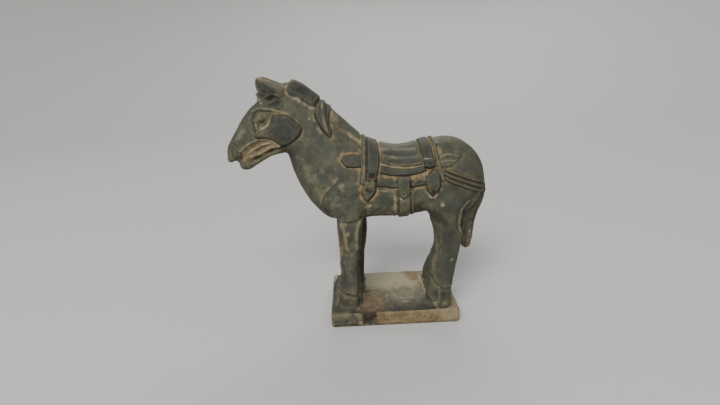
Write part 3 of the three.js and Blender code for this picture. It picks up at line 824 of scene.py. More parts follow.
# The crupper's bands wear away towards the tail.
whole = skin.mask
skin.mask = whole * (1 - 0.85 * ease(skin.flat[:, 0], *CRUPPER_FADE))
for outline in bands:
    plate(skin, outline, 0.9, edge=0.8, halo=0.35, foot=0.9, thick=0.4)
sink(skin, np.vstack([CRUPPER_TOP, CRUPPER_BOTTOM[::-1]]), 0, edge=1.0, rust=0.3)
skin.mask = whole
plate(skin, GIRTH, 1.5, halo=0.2, foot=0.6, thick=0.1)
streak(skin, [(9.4, 94), (9.6, 74)], 3.6, cream=0.3)
draw(
    skin,
    (GIRTH_FRONT_CORD, 0.5, 1.2, {"ochre": 0.7, "cream": 0.6}),
    (GIRTH_CORD, 0.8, 0.8, {"cream": 0.15}),
    (GIRTH_FRONT_EDGE, -0.2, 0.45, {"grime": 0.8}),
    (GIRTH_BACK_EDGE, -0.2, 0.45, {"grime": 0.8}),
)
plate(skin, FRONT_STRAP, 1.5, halo=1.0, foot=0.9, thick=0.2)
plate(skin, GIRTH_STRAP, 1.6, halo=0.9, foot=0.7, thick=0.85)
draw(
    skin,
    (STRAP_SEAM, -0.3, 0.5, {"grime": 0.5}),
    (STRAP_LIGHT, 0.25, 1.0, {"cream": 0.45, "ochre": 0.3}),
)
plate(skin, REAR_STRAP, 1.5, halo=0.8, foot=0.5, thick=0.95)
plate(skin, REAR_CORD, 1.5, edge=0.8, halo=0.6, foot=0.8, thick=0.0)
plate(skin, REAR_LEAF, 0.9, halo=0.3, foot=0.3, thick=0.1)
draw(
    skin,
    (REAR_CORD[2:20], 0, 0.8, {"cream": 0.35}),
    (LEAF_LINES[0], 0.5, 0.7, {"cream": 0.55, "ochre": 0.3}),
    (LEAF_LINES[1], 0.4, 0.7, {"cream": 0.45}),
    (LEAF_SLIT, -0.9, 0.5, {"grime": 0.9, "rust": 0.6}),
    (LEAF_FOOT, -0.2, 0.6, {"rust": 0.5, "grime": 0.5}),
    (RUMP_BARE, 0, 1.9, {"ochre": 0.8, "cream": 0.2}),
)
plate(skin, GIRTH_TAB, 2.1, halo=0.4, foot=0.7, thick=0.6)
for spot, size in (((6.2, 111.6), 1.4), ((11.6, 111.2), 1.3)):
    clean(skin, circle(spot, size), 0.6)
    dab(skin, spot, size, ochre=0.95, cream=0.3)
ridge(skin, closed(circle(GIRTH_RING, 2.6)), -0.2, 0.6, grime=0.5)
ridge(skin, closed(circle(GIRTH_RING, 1.5)), 0.4, 0.45, cream=0.55)
dab(skin, GIRTH_RING, 0.8, -0.5, grime=0.8)
draw(
    skin,
    ([(5.6, 97.6), (7.8, 96.3), (10.2, 97.2)], 0.2, 0.6, {"cream": 0.9}),
    ([(13, 108), (13.8, 105.6), (15.1, 103.2)], -0.4, 0.7, {"grime": 0.9}),
    ([(0.4, 99.7), (1, 96), (1.3, 89.4)], -0.2, 0.8, {"grime": 0.45}),
    ([(-16.6, 86.2), (-11, 86.6), (-5, 86.2)], 0, 1.8, {"grime": 0.3, "ochre": 0.3}),
)
dab(skin, (-15.9, 92), 1.7, cream=0.9)
dab(skin, (-18.2, 91), 2.2, ochre=0.8, cream=0.35)
plate(skin, FRONT_PENDANT, 2.1, edge=1.2, halo=1.0, foot=1.0, thick=0.3)
dab(skin, (-14.3, 107.6), 2.4, cream=0.45)
dab(skin, (-17.9, 99.8), 1.6, cream=0.4)
draw(
    skin,
    ([(-11.8, 104), (-13.8, 100.3), (-16.1, 97.5), (-17.9, 95.9)], -0.3, 1.1, {"grime": 0.5, "rust": 0.8}),
    ([(-20.8, 100.9), (-19.5, 97.6)], -0.2, 0.7, {"grime": 0.6, "rust": 0.4}),
)
plate(skin, REAR_PENDANT, 2.1, edge=1.3, halo=0.8, foot=1.0, thick=0.5)
dab(skin, (28.9, 101.4), 2.2, -0.3, grime=0.9, thick=1.0)
draw(
    skin,
    ([(32.2, 112), (33, 107.6), (32, 103.6)], 0, 0.8, {"grime": 0.6}),
    (PENDANT_TIP, 0, 0.7, {"cream": 0.85}),
)
plate(skin, FRONT_BUCKLE, 2.2, edge=0.7, halo=0.2, foot=0.9, thick=0.8)
sink(skin, FRONT_BUCKLE_HOLE, 0.9, edge=0.5, grime=0.9, thick=0.8)
plate(skin, REAR_BUCKLE, 2.2, edge=0.8, halo=0.4, foot=0.9, thick=1.0)
draw(skin, ([(23.4, 123.1), (27, 123.2), (30.6, 123)], 0.1, 0.6, {"cream": 0.7, "ochre": 0.4}))
dab(skin, (27, 120.4), 1.8, -0.1, stretch=1.6, grime=0.5)
for pit in PENDANT_PITS:
    dab(skin, pit, 1.1, -0.6, grime=1.0)
draw(skin, ([(-16.4, 116), (-12.6, 115.9)], -0.2, 0.6, {"grime": 0.8}))
dab(skin, (-16.3, 113.4), 1.0, rust=0.9, ochre=0.6)
dab(skin, (-13.4, 110.3), 1.0, 0.2, cream=0.8)
for spot in ((-13.8, 105.6), (28.6, 110.4), (27, 106)):
    dab(skin, spot, 1.2, cream=0.4)
keep(skin)


# The body, legs and tail outside the harness: soft muscle, folds that make a V on the forelegs, a line behind
# the thigh and loose strands in the tail. They were cut in the mould; the stains and wear came later.
SHOULDER_LINE = rounded([(-38.2, 112.5), (-43.9, 106.1), (-48.9, 100.3), (-51.4, 92.7)], False)
BREAST_UNDERSIDE = rounded([
    (-48.4, 88.2), (-43.9, 82.8), (-37.4, 80.6), (-31.6, 80), (-25.4, 80.8), (-21.4, 83.6), (-18.6, 86.4),
], False)
VALLEY = rounded([(-16.8, 93.4), (-18.1, 89.5), (-20.2, 85.2)], False)
FLANK = rounded([(-12, 102), (-5, 102.6), (0.2, 98), (0.4, 90.4), (-6, 87.6), (-13, 87.8)])
BELLY_EDGE = rounded([(-17.7, 85.4), (-8.6, 85.5), (1.4, 85)], False)
BELLY_SHADE = rounded([(-17.7, 82), (-8, 82.2), (3, 82)], False)
GROIN = rounded([
    (21, 84.4), (25.4, 86.6), (29.8, 88.2), (34, 86.4), (37.6, 83), (40, 77.6), (42.4, 71.6), (37, 72.6),
    (33.4, 75.2), (30, 77), (27, 79),
])
# Patches of thick dark slip; on the haunch and under the throat they are painted shade.
THICK_SLIP_AND_SHADE_PATCHES = [
    ((34.6, 97.4), 5.0), ((38, 90.6), 5.5), ((45, 86), 4.5), ((40, 103), 3.5), ((39.5, 131), 5.5),
    ((46, 98), 6), ((54, 118), 5), ((44, 106), 5), ((-88, 165), 7), ((-71, 126), 5), ((-68, 134), 4),
    ((-61, 148), 5), ((-55, 128), 5),
]
BELLY_WEAR = [(-14, 92), (-2, 90), (14, 90), (22, 91)]
SHIN_WEAR = [(-30, 80), (-31, 66), (-32, 50), (-33, 36)]
HIND_LEG_SHADE = [(40, 74), (41, 62), (40, 50), (39, 38)]
FLANK_SLIP = rounded([(-9.5, 99.9), (-4.7, 101.3), (0.4, 98), (0, 91), (-8.9, 92)])
FLANK_LIGHT = [(-11, 104), (-4.6, 102.9), (1.4, 101.9)]
THIGH_LINE = [(56, 92.4), (53.2, 90), (50.3, 87.1), (48.8, 82.8), (48, 77), (48.8, 71), (50.6, 66.6)]
THIGH_GROOVE = [(53, 91.6), (49, 87.3), (47.2, 83), (46.4, 77.4), (46.9, 72)]
TAIL_JOIN = [(50.8, 69.6), (52.8, 65.4), (54.8, 60.6), (56.3, 54.4), (57, 48.4)]
# The first line is the tail's right edge, a groove with painted shade; the others are strands.
TAIL_EDGE_AND_STRANDS = [
    [(67.7, 82), (65, 76), (63.4, 70.1), (63.2, 64.6), (64, 58.4)],
    [(57.4, 68), (57.2, 62.4), (58.5, 57.2), (58, 52), (57.8, 48.4)],
    [(65.4, 92), (63.4, 84), (61.4, 78), (60.4, 70)],
]
TAIL_BUMPS = [
    ((61.2, 62.2), 1.4, 0.9), ((62.4, 58.9), 1.2, 0.6), ((62.4, 55.6), 1.2, 0.5), ((59.8, 59.6), 1.4, 0.3),
    ((60.2, 53.4), 1.5, 0.25), ((60.3, 74.8), 2.0, 0.25), ((62, 69), 1.7, 0.2),
]
FORELEG_FRONT_FOLD = [(-37.2, 81), (-35.4, 74), (-34, 66.6), (-33.6, 60)]
FORELEG_FRONT_OCHRE = [(-34.4, 80.6), (-33.3, 77), (-32.6, 71)]
FORELEG_BACK_FOLD = [(-23.2, 81.4), (-25.3, 75.6), (-26.6, 69), (-26.8, 59.6)]
FORELEG_HOLLOW = rounded([(-32.6, 79), (-31.4, 70), (-30.8, 61), (-29, 61), (-28.2, 69), (-26.6, 79)])
FORELEG_STAIN = [(-41.2, 79), (-41, 70), (-40.2, 65), (-39.4, 61), (-39.8, 56), (-40.6, 49)]
FORELEG_GRIME = [(-40.8, 79.6), (-40.5, 76), (-40.3, 73)]
FORELEG_LIGHT = [(-39.6, 51), (-38.8, 45), (-38.4, 38)]
SHIN_SLIP = [(-37.2, 52), (-36.6, 42), (-35.4, 31)]
FORELEG_BACK_EDGE = [(-25, 56), (-25.3, 44), (-25.8, 36.6), (-26.8, 24), (-27, 14)]
KNEE = [
    ((-32.5, 58), 1.8), ((-34.4, 54.8), 1.5), ((-31.2, 53.6), 1.8), ((-28.2, 56.6), 1.4),
    ((-29.9, 50.4), 1.8), ((-36.2, 49.8), 1.2),
]
KNEE_LINE = [(-37, 50.6), (-35, 47.4), (-32.4, 44.4)]
FORE_FETLOCK = [(-42.6, 26.6), (-38.2, 24.3), (-33.5, 23.2), (-29.2, 21.7), (-26.5, 22.8)]
FORE_PASTERN = [(-40.4, 28.2), (-36.4, 26.4), (-32.6, 25.2), (-29, 24.2)]
HIND_FETLOCK = [(28.2, 35.4), (30.8, 30.4), (34.7, 26), (38.8, 24.2), (43.8, 24.2)]
HOOF_CELLS = [
    [(29, 22.8), (32.6, 23.6), (33, 17.4), (30.1, 18.8)],
    [(34.5, 22.8), (40, 22.2), (40, 16.6), (35.5, 16.6)],
]
HOOF_BASE_LIGHT = [(25.9, 19.8), (29.9, 15.3), (35.2, 13.6), (41.6, 13.8)]
HOCK_CREASE = [(33, 77), (36.5, 75.6), (40.5, 75.2)]
HIND_FRONT_LINE = [(31.8, 67), (32.3, 60.7), (32.6, 54), (31, 46), (29, 36)]
HIND_STREAK = [(38.4, 64), (38.6, 56), (39, 49), (38.2, 40)]
HIND_FRONT_WEAR = rounded([
    (32, 76), (35.8, 75), (37.6, 68), (37.2, 61.9), (36, 54), (34.9, 44), (32.6, 44), (33.6, 54),
    (33.4, 62),
])
LEG_PITS = [
    ((-39.4, 62.2), 1.3), ((-40.6, 58.6), 1.0), ((-40.4, 67.4), 0.9), ((-40.8, 71), 0.8),
    ((43.4, 47.8), 0.5),
]
FORE_HOOF_LUMPS = [
    ((-34.4, 21), 1.3, 0.25), ((-30.7, 19.8), 1.5, 0.45), ((-32.3, 17.2), 1.4, 0.25),
    ((-37.4, 20.6), 1.5, 0.2),
]
BREAST_PITS = [((-32.8, 96.4), 1.1), ((-31.5, 91), 1.3), ((-33.3, 84.9), 1.0)]
PALE_SPOTS = [
    ((35.6, 91.2), 1.7, 1.0), ((-38.2, 120.8), 3.2, 0.35), ((-35.9, 107.4), 3.6, 0.55),
    ((-38.7, 99.2), 3.0, 0.4), ((-47.5, 119.3), 4.6, 0.35), ((-39.1, 131.6), 3.4, 0.3),
    ((-29.7, 84.6), 2.6, 0.3), ((-55.6, 153.9), 0.9, 0.8), ((-53.6, 131.3), 1.0, 0.5),
    ((-8, 95.4), 3.4, 0.15), ((8, 88), 4, 0.35), ((8, 93), 3, 0.2), ((60, 115), 4, 0.15),
    ((45.3, 111.7), 2.5, 0.2), ((-62, 140), 3.5, 0.3), ((-50, 140), 3.0, 0.25), ((27.2, 90.4), 1.3, 0.4),
]
# The brown on the front of the neck: how far ahead of the middle it fades in, and its foot and top.
NECK_BROWN_AHEAD, NECK_BROWN_FOOT, NECK_BROWN_TOP = (30, 48), (78, 86), (126, 136)
BACK_HEIGHT = (100, 112)

folds = [
    SHOULDER_LINE, BREAST_UNDERSIDE, FORELEG_FRONT_FOLD, FORELEG_BACK_FOLD, FORE_FETLOCK, HIND_FETLOCK,
    THIGH_LINE, TAIL_JOIN, *TAIL_EDGE_AND_STRANDS,
]
refine(folds, 1.8, sides=NEAR_SIDE)
skin = read_skin()
sink(skin, FLANK, -0.7, edge=4)
sink(skin, FLANK_SLIP, 0, edge=2.4, thick=0.65)
sink(skin, FORELEG_HOLLOW, 0.7, edge=1.6, thick=0.6)
# Painted shade in the crease of the groin, dark brown.
sink(skin, GROIN, 0.9, edge=3.0, ochre=0.3, rust=0.45, grime=0.62)
sink(skin, HIND_FRONT_WEAR, 0, edge=2.0, ochre=0.4, rust=0.3)
for outline in HOOF_CELLS:
    sink(skin, outline, 0.3, edge=1.0, thick=0.9, grime=0.2)
for spot, size in THICK_SLIP_AND_SHADE_PATCHES:
    dab(skin, spot, size, thick=0.55)
draw(
    skin,
    (SHOULDER_LINE, 0.8, 1.4, {"ochre": 0.4, "cream": 0.45}),
    (SHOULDER_LINE + np.array([1.7, 0.6]), -0.4, 1.0, {"grime": 0.3}),
    # Painted shade under the overhang of the breast, as a dark brown groove.
    (BREAST_UNDERSIDE, -1.3, 1.3, {"grime": 0.7, "rust": 0.5}),
    (VALLEY, -0.7, 1.4, {"ochre": 0.7, "cream": 0.3}),
    (FLANK_LIGHT, 0.1, 1.0, {"ochre": 0.6, "cream": 0.6}),
    (BELLY_EDGE, 0.3, 2.2, {"cream": 0.4, "ochre": 0.3}),
    (BELLY_SHADE, 0, 2.2, {"rust": 0.4, "ochre": 0.3}),
    (THIGH_LINE, 0.7, 0.9, {"ochre": 0.3, "cream": 0.6}),
    (THIGH_GROOVE, -0.6, 0.8, {"grime": 0.6}),
    ([(56.4, 89.6), (53.6, 87), (51.6, 84)], -0.5, 0.9, {"grime": 0.5, "rust": 0.4}),
    (TAIL_JOIN, 0.5, 0.8, {"ochre": 0.4, "cream": 0.5, "rust": 0.2}),
    # The tail's right edge, with painted shade.
    (TAIL_EDGE_AND_STRANDS[0], -0.6, 0.9, {"grime": 0.6}),
    (TAIL_EDGE_AND_STRANDS[1], -0.8, 0.8, {"grime": 0.5}),
    (TAIL_EDGE_AND_STRANDS[2], -0.5, 0.8, {"grime": 0.2}),
    (FORELEG_FRONT_FOLD, 0.9, 1.9, {}),
    (FORELEG_BACK_FOLD, 0.9, 1.7, {}),
    (FORELEG_STAIN, -0.5, 2.3, {"ochre": 1.0, "rust": 0.4}),
    (FORELEG_GRIME, -0.4, 0.9, {"grime": 0.9}),
    (FORELEG_LIGHT, 0.2, 0.9, {"cream": 0.5, "ochre": 0.3}),
    ([(-41.1, 24.5), (-41.9, 17.4), (-40.9, 14.1)], 0, 1.2, {"rust": 0.5, "ochre": 0.5}),
    (SHIN_SLIP, 0, 1.8, {"thick": 0.6}),
    # Painted shade down the back edge of the foreleg, its shaded side.
    (FORELEG_BACK_EDGE, -0.2, 1.5, {"grime": 0.75}),
    (KNEE_LINE, 0.3, 1.0, {"cream": 0.35}),
    (FORE_PASTERN, 0.6, 1.0, {"cream": 0.25}),
    (FORE_FETLOCK, -0.6, 0.8, {"grime": 0.75}),
    (HIND_FETLOCK, -0.6, 0.9, {"grime": 0.6, "rust": 0.3}),
    (np.array(HIND_FETLOCK) + np.array([0.4, 2.0]), 0.4, 1.0, {}),
    (HOOF_BASE_LIGHT, 0.2, 0.8, {"cream": 0.4, "ochre": 0.3}),
    ([(33.6, 22.4), (33.8, 17), (33.8, 13.4)], 0.9, 1.1, {}),
    (HOCK_CREASE, -0.4, 1.1, {"grime": 0.4}),
    (HIND_FRONT_LINE, 0.4, 0.9, {"cream": 0.3}),
    (HIND_STREAK, -0.2, 1.3, {"thick": 0.5}),
    (closed(circle((43.4, 47.8), 1.0)), 0.4, 0.5, {"cream": 0.8}),
)
streak(skin, FORELEG_FRONT_FOLD, 1.8, cream=0.5, ochre=0.3)
streak(skin, FORELEG_FRONT_OCHRE, 0.9, ochre=0.7)
streak(skin, FORELEG_BACK_FOLD, 1.6, cream=0.52, ochre=0.3)
streak(skin, HIND_FRONT_LINE, 2.2, cream=0.36)
ridge(skin, HIND_LEG_SHADE, 0, 6.5, grime=0.3, thick=0.6)
ridge(skin, BELLY_WEAR, 0, 5, cream=0.29)
ridge(skin, SHIN_WEAR, 0, 4.5, cream=0.27)
ridge(skin, [(-46, 96), (-38, 93), (-28, 95)], 0, 7, cream=0.24)
ridge(skin, [(62.4, 92), (58.4, 84), (56.6, 76), (58, 66), (59.6, 54)], 0, 5.5, cream=0.34)
for spot, size, amount in TAIL_BUMPS:
    dab(skin, spot, size, 0.9, cream=amount)
dab(skin, (64.4, 60.4), 1.4, -0.3, grime=0.8, rust=0.6)
dab(skin, (56.8, 46.6), 1.6, 0.2, rust=0.9)
for spot, size in KNEE:
    dab(skin, spot, size, 0.4, cream=0.35)
for pit, size in LEG_PITS:
    dab(skin, pit, size, -0.8, grime=0.9)
for spot, size, amount in FORE_HOOF_LUMPS:
    dab(skin, spot, size, 0.45, cream=amount)
for pit, size in BREAST_PITS:
    dab(skin, pit, size, -0.6, grime=0.6, rust=0.4)
for spot, size, amount in PALE_SPOTS:
    dab(skin, spot, size, cream=amount)
# The front of the neck and breast is painted brown where it faces forward, with a paler line just behind it.
forward, height = -skin.facing[:, 0], skin.place[:, 2]
neck = ease(-skin.place[:, 0], *NECK_BROWN_AHEAD) * ease(height, *NECK_BROWN_FOOT)
neck *= 1 - ease(height, *NECK_BROWN_TOP)
tint(skin, "rust", 0.75 * neck * ease(forward, 0.55, 0.9))
tint(skin, "cream", 0.35 * neck * bell(forward - 0.42, 0.14))
# Cream dust on the back and the rump where they face up, which is also a painted highlight from the light
# above.
tint(skin, "cream", 0.3 * ease(skin.facing[:, 2], 0.6, 0.97) * ease(height, *BACK_HEIGHT))
keep(skin)


# The plinth: a flat slab of the same clay with rounded edges. Its near edge has a broken dent and a gouge,
# its near face two rows of worn strokes cut with a point, and its top is scraped bare between the hooves.
def look_from_above(place, facing):
    return place[:, [0, 1]], ease(facing[:, 2], 0.4, 0.8) * ease(PLINTH[2] + 3 - place[:, 2], 0, 2)


def look_at_near_face(place, facing):
    at_front = ease(-place[:, 1], PLINTH[1] / 2 - 3, PLINTH[1] / 2 - 1.5)
    below_top = ease(PLINTH[2] + 2 - place[:, 2], 0, 1)
    return place[:, [0, 2]], ease(-facing[:, 1], 0.3, 0.8) * at_front * below_top


STROKE_ROWS = (7.7, 4.7)
STROKES_FROM, STROKES_TO = -13.5, 14.5
# Each stroke's shift up or down, half height, lean and distance to the next.
STROKE_SHIFT, STROKE_HALF, STROKE_LEAN, STROKE_GAP = 0.25, (0.35, 0.6), 0.2, (2.1, 2.9)
OCHRE_FACE_FROM, PALE_END_FROM = (-16.5, -12.5), (30, 37)
DENT_DEPTH, DENT_EDGE = 1.9, 2.4
SLASHES = [[(16.6, 4.4), (16.8, 7.4)], [(19, 4.4), (19.2, 7.4)], [(21.4, 4.6), (21.6, 7.6)]]
DENT = rounded([
    (-26.2, 13), (-25.2, 9.4), (-24.8, 7), (-24.6, 3.8), (-22, 1), (-19, 1.6), (-16.4, 1), (-15, 5.2),
    (-13.8, 9.8), (-16, 13),
])
DENT_TOP = [(-26, 11.8), (-18, 11.4), (-17.8, 8.6), (-24.6, 9)]
DENT_BLACK = [
    ((-21.4, 4.6), 2.6), ((-18.4, 5.6), 2.4), ((-16.2, 7.4), 1.9), ((-22.6, 7), 1.8), ((-19.6, 2.4), 2.0),
    ((-23.4, 2.4), 1.4),
]
DENT_BROWN = [
    ((-15.5, 2.6), 1.8), ((-14.6, 5.4), 1.4), ((-18.6, 9), 1.6), ((-17.6, 0.8), 1.4), ((-24.8, 4.8), 1.0),
]
GOUGE = [(-32.6, 11.6), (-31, 7.8), (-29.4, 3.6), (-28.8, 1)]
SCRAPED_FACE = rounded([(-29.4, 9.4), (-26.8, 9.8), (-25, 6.2), (-24.8, 0.6), (-28.2, 0.4), (-28.6, 5)])
LEFT_LUMPS = [
    ((-46, 7.8), 2.6, 0.45), ((-42, 5), 2.2, -0.4), ((-38.6, 8), 2.4, 0.35), ((-35.4, 5), 2.4, -0.3),
    ((-47.4, 3), 2.0, 0.4), ((-38.6, 0.4), 3.0, -0.9), ((-44.4, 0.4), 1.8, -0.5), ((-32.4, 0.2), 2.2, -0.7),
]
BARE_TOP = rounded([
    (-22.5, 36), (31, 36), (26.6, 14), (27, -6), (29, -20), (31.6, -36), (-26, -36), (-24.6, -20),
    (-22.8, -6), (-21.8, 10),
])
# How the scraped top changes from its far edge to its near one: where, in millimetres nearer than its middle,
# the cream ends, the ochre ends, the slip begins and covers, the grime begins, and the brown stain begins.
CREAM_ENDS, OCHRE_ENDS = (-12, 10), (-13, 8)
SLIP_BEGINS, SLIP_COVERS = (-10, 8), (11, 30)
TOP_GRIME_BEGINS = (18, 31)
BROWN_BEGINS, BROWN_LEFT_OF = (-4, 9), (-3, 16)
FAR_OCHRE_TOP = rounded([(8, 46), (33, 46), (28, 12), (26, -2), (20.4, 8), (13, 20)])
BROWN_STAINS = [
    ((-19.4, -6), 2.6), ((-16, -11.5), 3.4), ((-19.6, -17), 3.4), ((-13, -19.5), 3.2), ((-17, -26), 3.4),
    ((-9, -26), 3.0),
]
STREAK_LIGHTS = [
    ((-4.6, -8.9), 1.4), ((1.6, -9.5), 1.8), ((5.7, -14.6), 2.0), ((8.9, -19.5), 2.0), ((14.4, -7), 2.0),
    ((14, -14), 1.6),
]
RIGHT_TOP = rounded([(44.2, 14), (49, 14), (49, -35), (34.4, -35), (37, -31.6), (42.6, -27.4), (45, -16)])
TOP_CURL = [(-18.5, 9.4), (-15.4, 13), (-11.4, 12.8), (-8.3, 8)]
TOP_RIDGE = [(25.5, 25), (26.2, 14), (26.6, -2), (27.7, -14), (29.8, -24.4), (32.4, -32.6)]
HOOF_FOOT = [
    (27.4, 25), (27.9, 14), (28.3, -2), (29.5, -14), (31.7, -24), (35.4, -30.2), (41, -29.4), (45, -18),
]
NEAR_EDGE_SHADE = [(-25.2, -28), (-18, -31.2), (-9.4, -32.3), (4.9, -32.8), (18, -32.6), (27, -32)]
FORE_HOOF_OCHRE = [(-22.9, -5), (-22.4, -12), (-21.6, -20), (-19.8, -25.6), (-14.6, -25)]

marks = [np.array(slash) for slash in SLASHES]
scribe = np.random.default_rng(7)
for row in STROKE_ROWS:
    along = STROKES_FROM
    while along < STROKES_TO:
        middle = row + scribe.uniform(-STROKE_SHIFT, STROKE_SHIFT)
        rise = scribe.uniform(*STROKE_HALF)
        lean = STROKE_LEAN * rise
        marks.append([(along - lean, middle - rise), (along + lean, middle + rise)])
        along += scribe.uniform(*STROKE_GAP)
refine([[(-44, 6), (42, 6)]], 4.5, look_at_near_face)
refine([[(STROKES_FROM + 1, 7), (STROKES_TO - 1, 7)], closed(DENT)], 2.6, look_at_near_face)
skin = read_skin(look_at_near_face)
right_face = ease(skin.flat[:, 0], *OCHRE_FACE_FROM)
tint(skin, "ochre", right_face)
tint(skin, "cream", 0.34 * (1 - right_face))
tint(skin, "cream", 0.12 * right_face)
tint(skin, "cream", 0.55 * ease(skin.flat[:, 0], *PALE_END_FROM))
sink(skin, SCRAPED_FACE, 0, edge=1.6, cream=0.4, ochre=0.5)
hurt = within(skin, DENT, DENT_EDGE)
skin.lift -= DENT_DEPTH * hurt * skin.mask
wipe(skin, 0.9 * hurt * skin.mask, ("cream", "ochre"))
tint(skin, "rust", 0.8 * hurt)
tint(skin, "grime", 0.45 * hurt)
sink(skin, DENT_TOP, 0, edge=1.2, thick=0.8, grime=0.2)
for spot, size in DENT_BLACK:
    dab(skin, spot, size, -0.25, grime=0.95)
for spot, size in DENT_BROWN:
    dab(skin, spot, size, 0.1, rust=0.85, ochre=0.4)
draw(
    skin,
    (GOUGE, -0.6, 0.6, {"grime": 0.5, "rust": 0.7}),
    ([(-21.8, 0.4), (-18.6, 0.8), (-15.4, 0.6)], 0.2, 1.0, {"ochre": 1.0, "cream": 0.3}),
    ([(-14, 11.4), (6, 11.5), (28, 11.4), (47, 11.4)], 0.1, 0.5, {"cream": 0.7}),
    ([(-14, 0.6), (6, 0.4), (28, 0.6), (47, 0.5)], -0.1, 0.7, {"rust": 0.6}),
    # Painted shade along the bottom of the face at its left end.
    ([(-46, 0.7), (-38, 1.2), (-27, 0.7)], -0.4, 0.8, {"grime": 0.7}),
    ([(-46.6, 11.7), (-38, 11.6), (-30, 11.8), (-14.6, 11.6)], -0.3, 0.7, {"grime": 0.85}),
)
for mark in marks:
    ridge(skin, mark, -0.4, 0.5, rust=0.8)
dab(skin, (27.4, 7.2), 1.7, -0.2, grime=0.5, rust=0.4)
dab(skin, (26, 4.6), 1.7, -0.3, stretch=1.5, grime=0.55, rust=0.5)
dab(skin, (23, 4), 1.0, -0.2, stretch=1.5, grime=0.3, rust=0.5)
clean(skin, circle((31.4, 4.4), 2.4), 0.55, edge=3)
for spot, size, rise in LEFT_LUMPS:
    dab(skin, spot, size, rise, cream=0.25 * (rise > 0))
keep(skin)

refine([TOP_RIDGE, TOP_CURL], 1.6, look_from_above)
skin = read_skin(look_from_above)
sink(skin, BARE_TOP, 0, edge=2.6, ochre=1.0, cream=0.6)
bare_top = within(skin, BARE_TOP, 2.6) * skin.mask
across, nearer = skin.flat[:, 0] + 3 * skin.worn, 4 * skin.worn - skin.flat[:, 1]
tint(skin, "cream", 0.9 * bare_top * (1 - ease(nearer, *CREAM_ENDS)))
clean(skin, FAR_OCHRE_TOP, 0.85, edge=9, fields=("cream",))
wipe(skin, 0.95 * bare_top * ease(nearer, *OCHRE_ENDS), ("ochre",))
slipped = 0.22 * ease(nearer, *SLIP_BEGINS) + 0.73 * ease(nearer, *SLIP_COVERS)
wipe(skin, bare_top * slipped, ("cream",))
tint(skin, "grime", 0.62 * bare_top * ease(nearer, *TOP_GRIME_BEGINS))
browned = bare_top * ease(-across, *BROWN_LEFT_OF) * ease(nearer, *BROWN_BEGINS)
wipe(skin, 0.8 * browned, ("cream",))
tint(skin, "ochre", 0.8 * browned)
tint(skin, "rust", 0.45 * browned)
tint(skin, "grime", 0.42 * browned)
for spot, size in BROWN_STAINS:
    dab(skin, spot, size, stretch=1.4, rust=0.5, grime=0.52)
for spot, size in STREAK_LIGHTS:
    dab(skin, spot, size, 0.2, stretch=2.2, cream=0.7, ochre=0.4)
sink(skin, RIGHT_TOP, 0, edge=2, cream=0.55, ochre=0.9)
sink(skin, [(-50, 36), (-43.4, 36), (-46, 20), (-50, 18)], 0, edge=1.5, cream=0.8, ochre=0.8)
draw(
    skin,
    (TOP_RIDGE, 0.8, 1.1, {"cream": 1.0, "ochre": 0.9}),
    (HOOF_FOOT, -0.6, 0.9, {"grime": 0.8, "rust": 0.6}),
    (TOP_CURL, -0.3, 0.9, {"grime": 0.6, "thick": 0.8}),
    ([(-19, 6), (-16, 8.6), (-12, 8)], -0.1, 0.9, {"grime": 0.45}),
    ([(-15, 8.6), (-12.6, 9.6), (-10.6, 8.4)], 0, 0.5, {"rust": 0.5}),
    (NEAR_EDGE_SHADE, -0.3, 1.5, {"grime": 0.5, "rust": 0.6}),
    ([(-46.3, -33.4), (-38.3, -33.6), (-31.8, -32.7), (-25.2, -31.3)], -0.3, 0.9, {"grime": 0.8}),
    (FORE_HOOF_OCHRE, 0.1, 1.4, {"ochre": 1.0, "cream": 0.4}),
    ([(-43.5, 33), (-44.9, 22.5), (-46.6, 10.2), (-46.8, 1.8)], -0.3, 1.6, {"rust": 0.6, "grime": 0.85}),
    ([(-44.3, 0), (-42.6, -12), (-44, -20)], 0, 1.5, {"ochre": 0.9, "rust": 0.3}),
    ([(46.2, -6), (45.8, -20), (45, -31)], -0.2, 0.6, {"rust": 0.7}),
)
dab(skin, (-20.5, -0.9), 1.8, -0.2, stretch=1.3, rust=0.9, grime=0.6)
dab(skin, (3.9, 10.5), 1.2, stretch=1.8, rust=0.9, grime=0.3)
keep(skin)


# The skin is worked smooth, the relief is pressed into it, and the clay keeps the lumps of hand pressing.
# Each kind of lump is its size across and its height in millimetres; the plinth is pressed a little lower.
LUMPS = ((9.0, 0.3), (3.6, 0.16), (1.6, 0.06))
PLINTH_PRESSED = 0.35
bpy.context.view_layer.objects.active = horse
soften("worked smooth", (0.5, 4), (-0.52, 3))
skin = read_skin()
uneven = np.array([
    sum(rise * noise.noise(Vector(spot) / size) for size, rise in LUMPS) for spot in skin.place
])
uneven -= PLINTH_PRESSED * ease(PLINTH[2] + 1 - skin.place[:, 2], 0, 1)
underside = (skin.place[:, 2] < 0.3) & (skin.facing[:, 2] < -0.7)
move = np.where(underside, 0, skin.lift + uneven)
worked = skin.place + skin.facing * move[:, None]
worked = np.clip(worked, np.array(cad_box[0]) / MM, np.array(cad_box[1]) / MM)
horse.data.vertices.foreach_set("co", (worked * MM).ravel())
horse.data.update()


# How deep each place lies below the clay around it, so that dust settles in the folds and the crests wear.
# It's the gap to the levelled skin: finer mesh takes more passes, given with the edge lengths they suit.
LEVELLING = {3: (1.0, 9.0), 10: (0.5, 1.0), 32: (0.0, 0.5)}


def settle(values, pairs, count):
    """Each vertex moves to the middle of its neighbours and itself."""
    total = values.copy()
    for axis in range(values.shape[1]):
        total[:, axis] += np.bincount(pairs[:, 0], values[pairs[:, 1], axis], count)
        total[:, axis] += np.bincount(pairs[:, 1], values[pairs[:, 0], axis], count)
    return total / (1 + np.bincount(pairs.ravel(), minlength=count))[:, None]


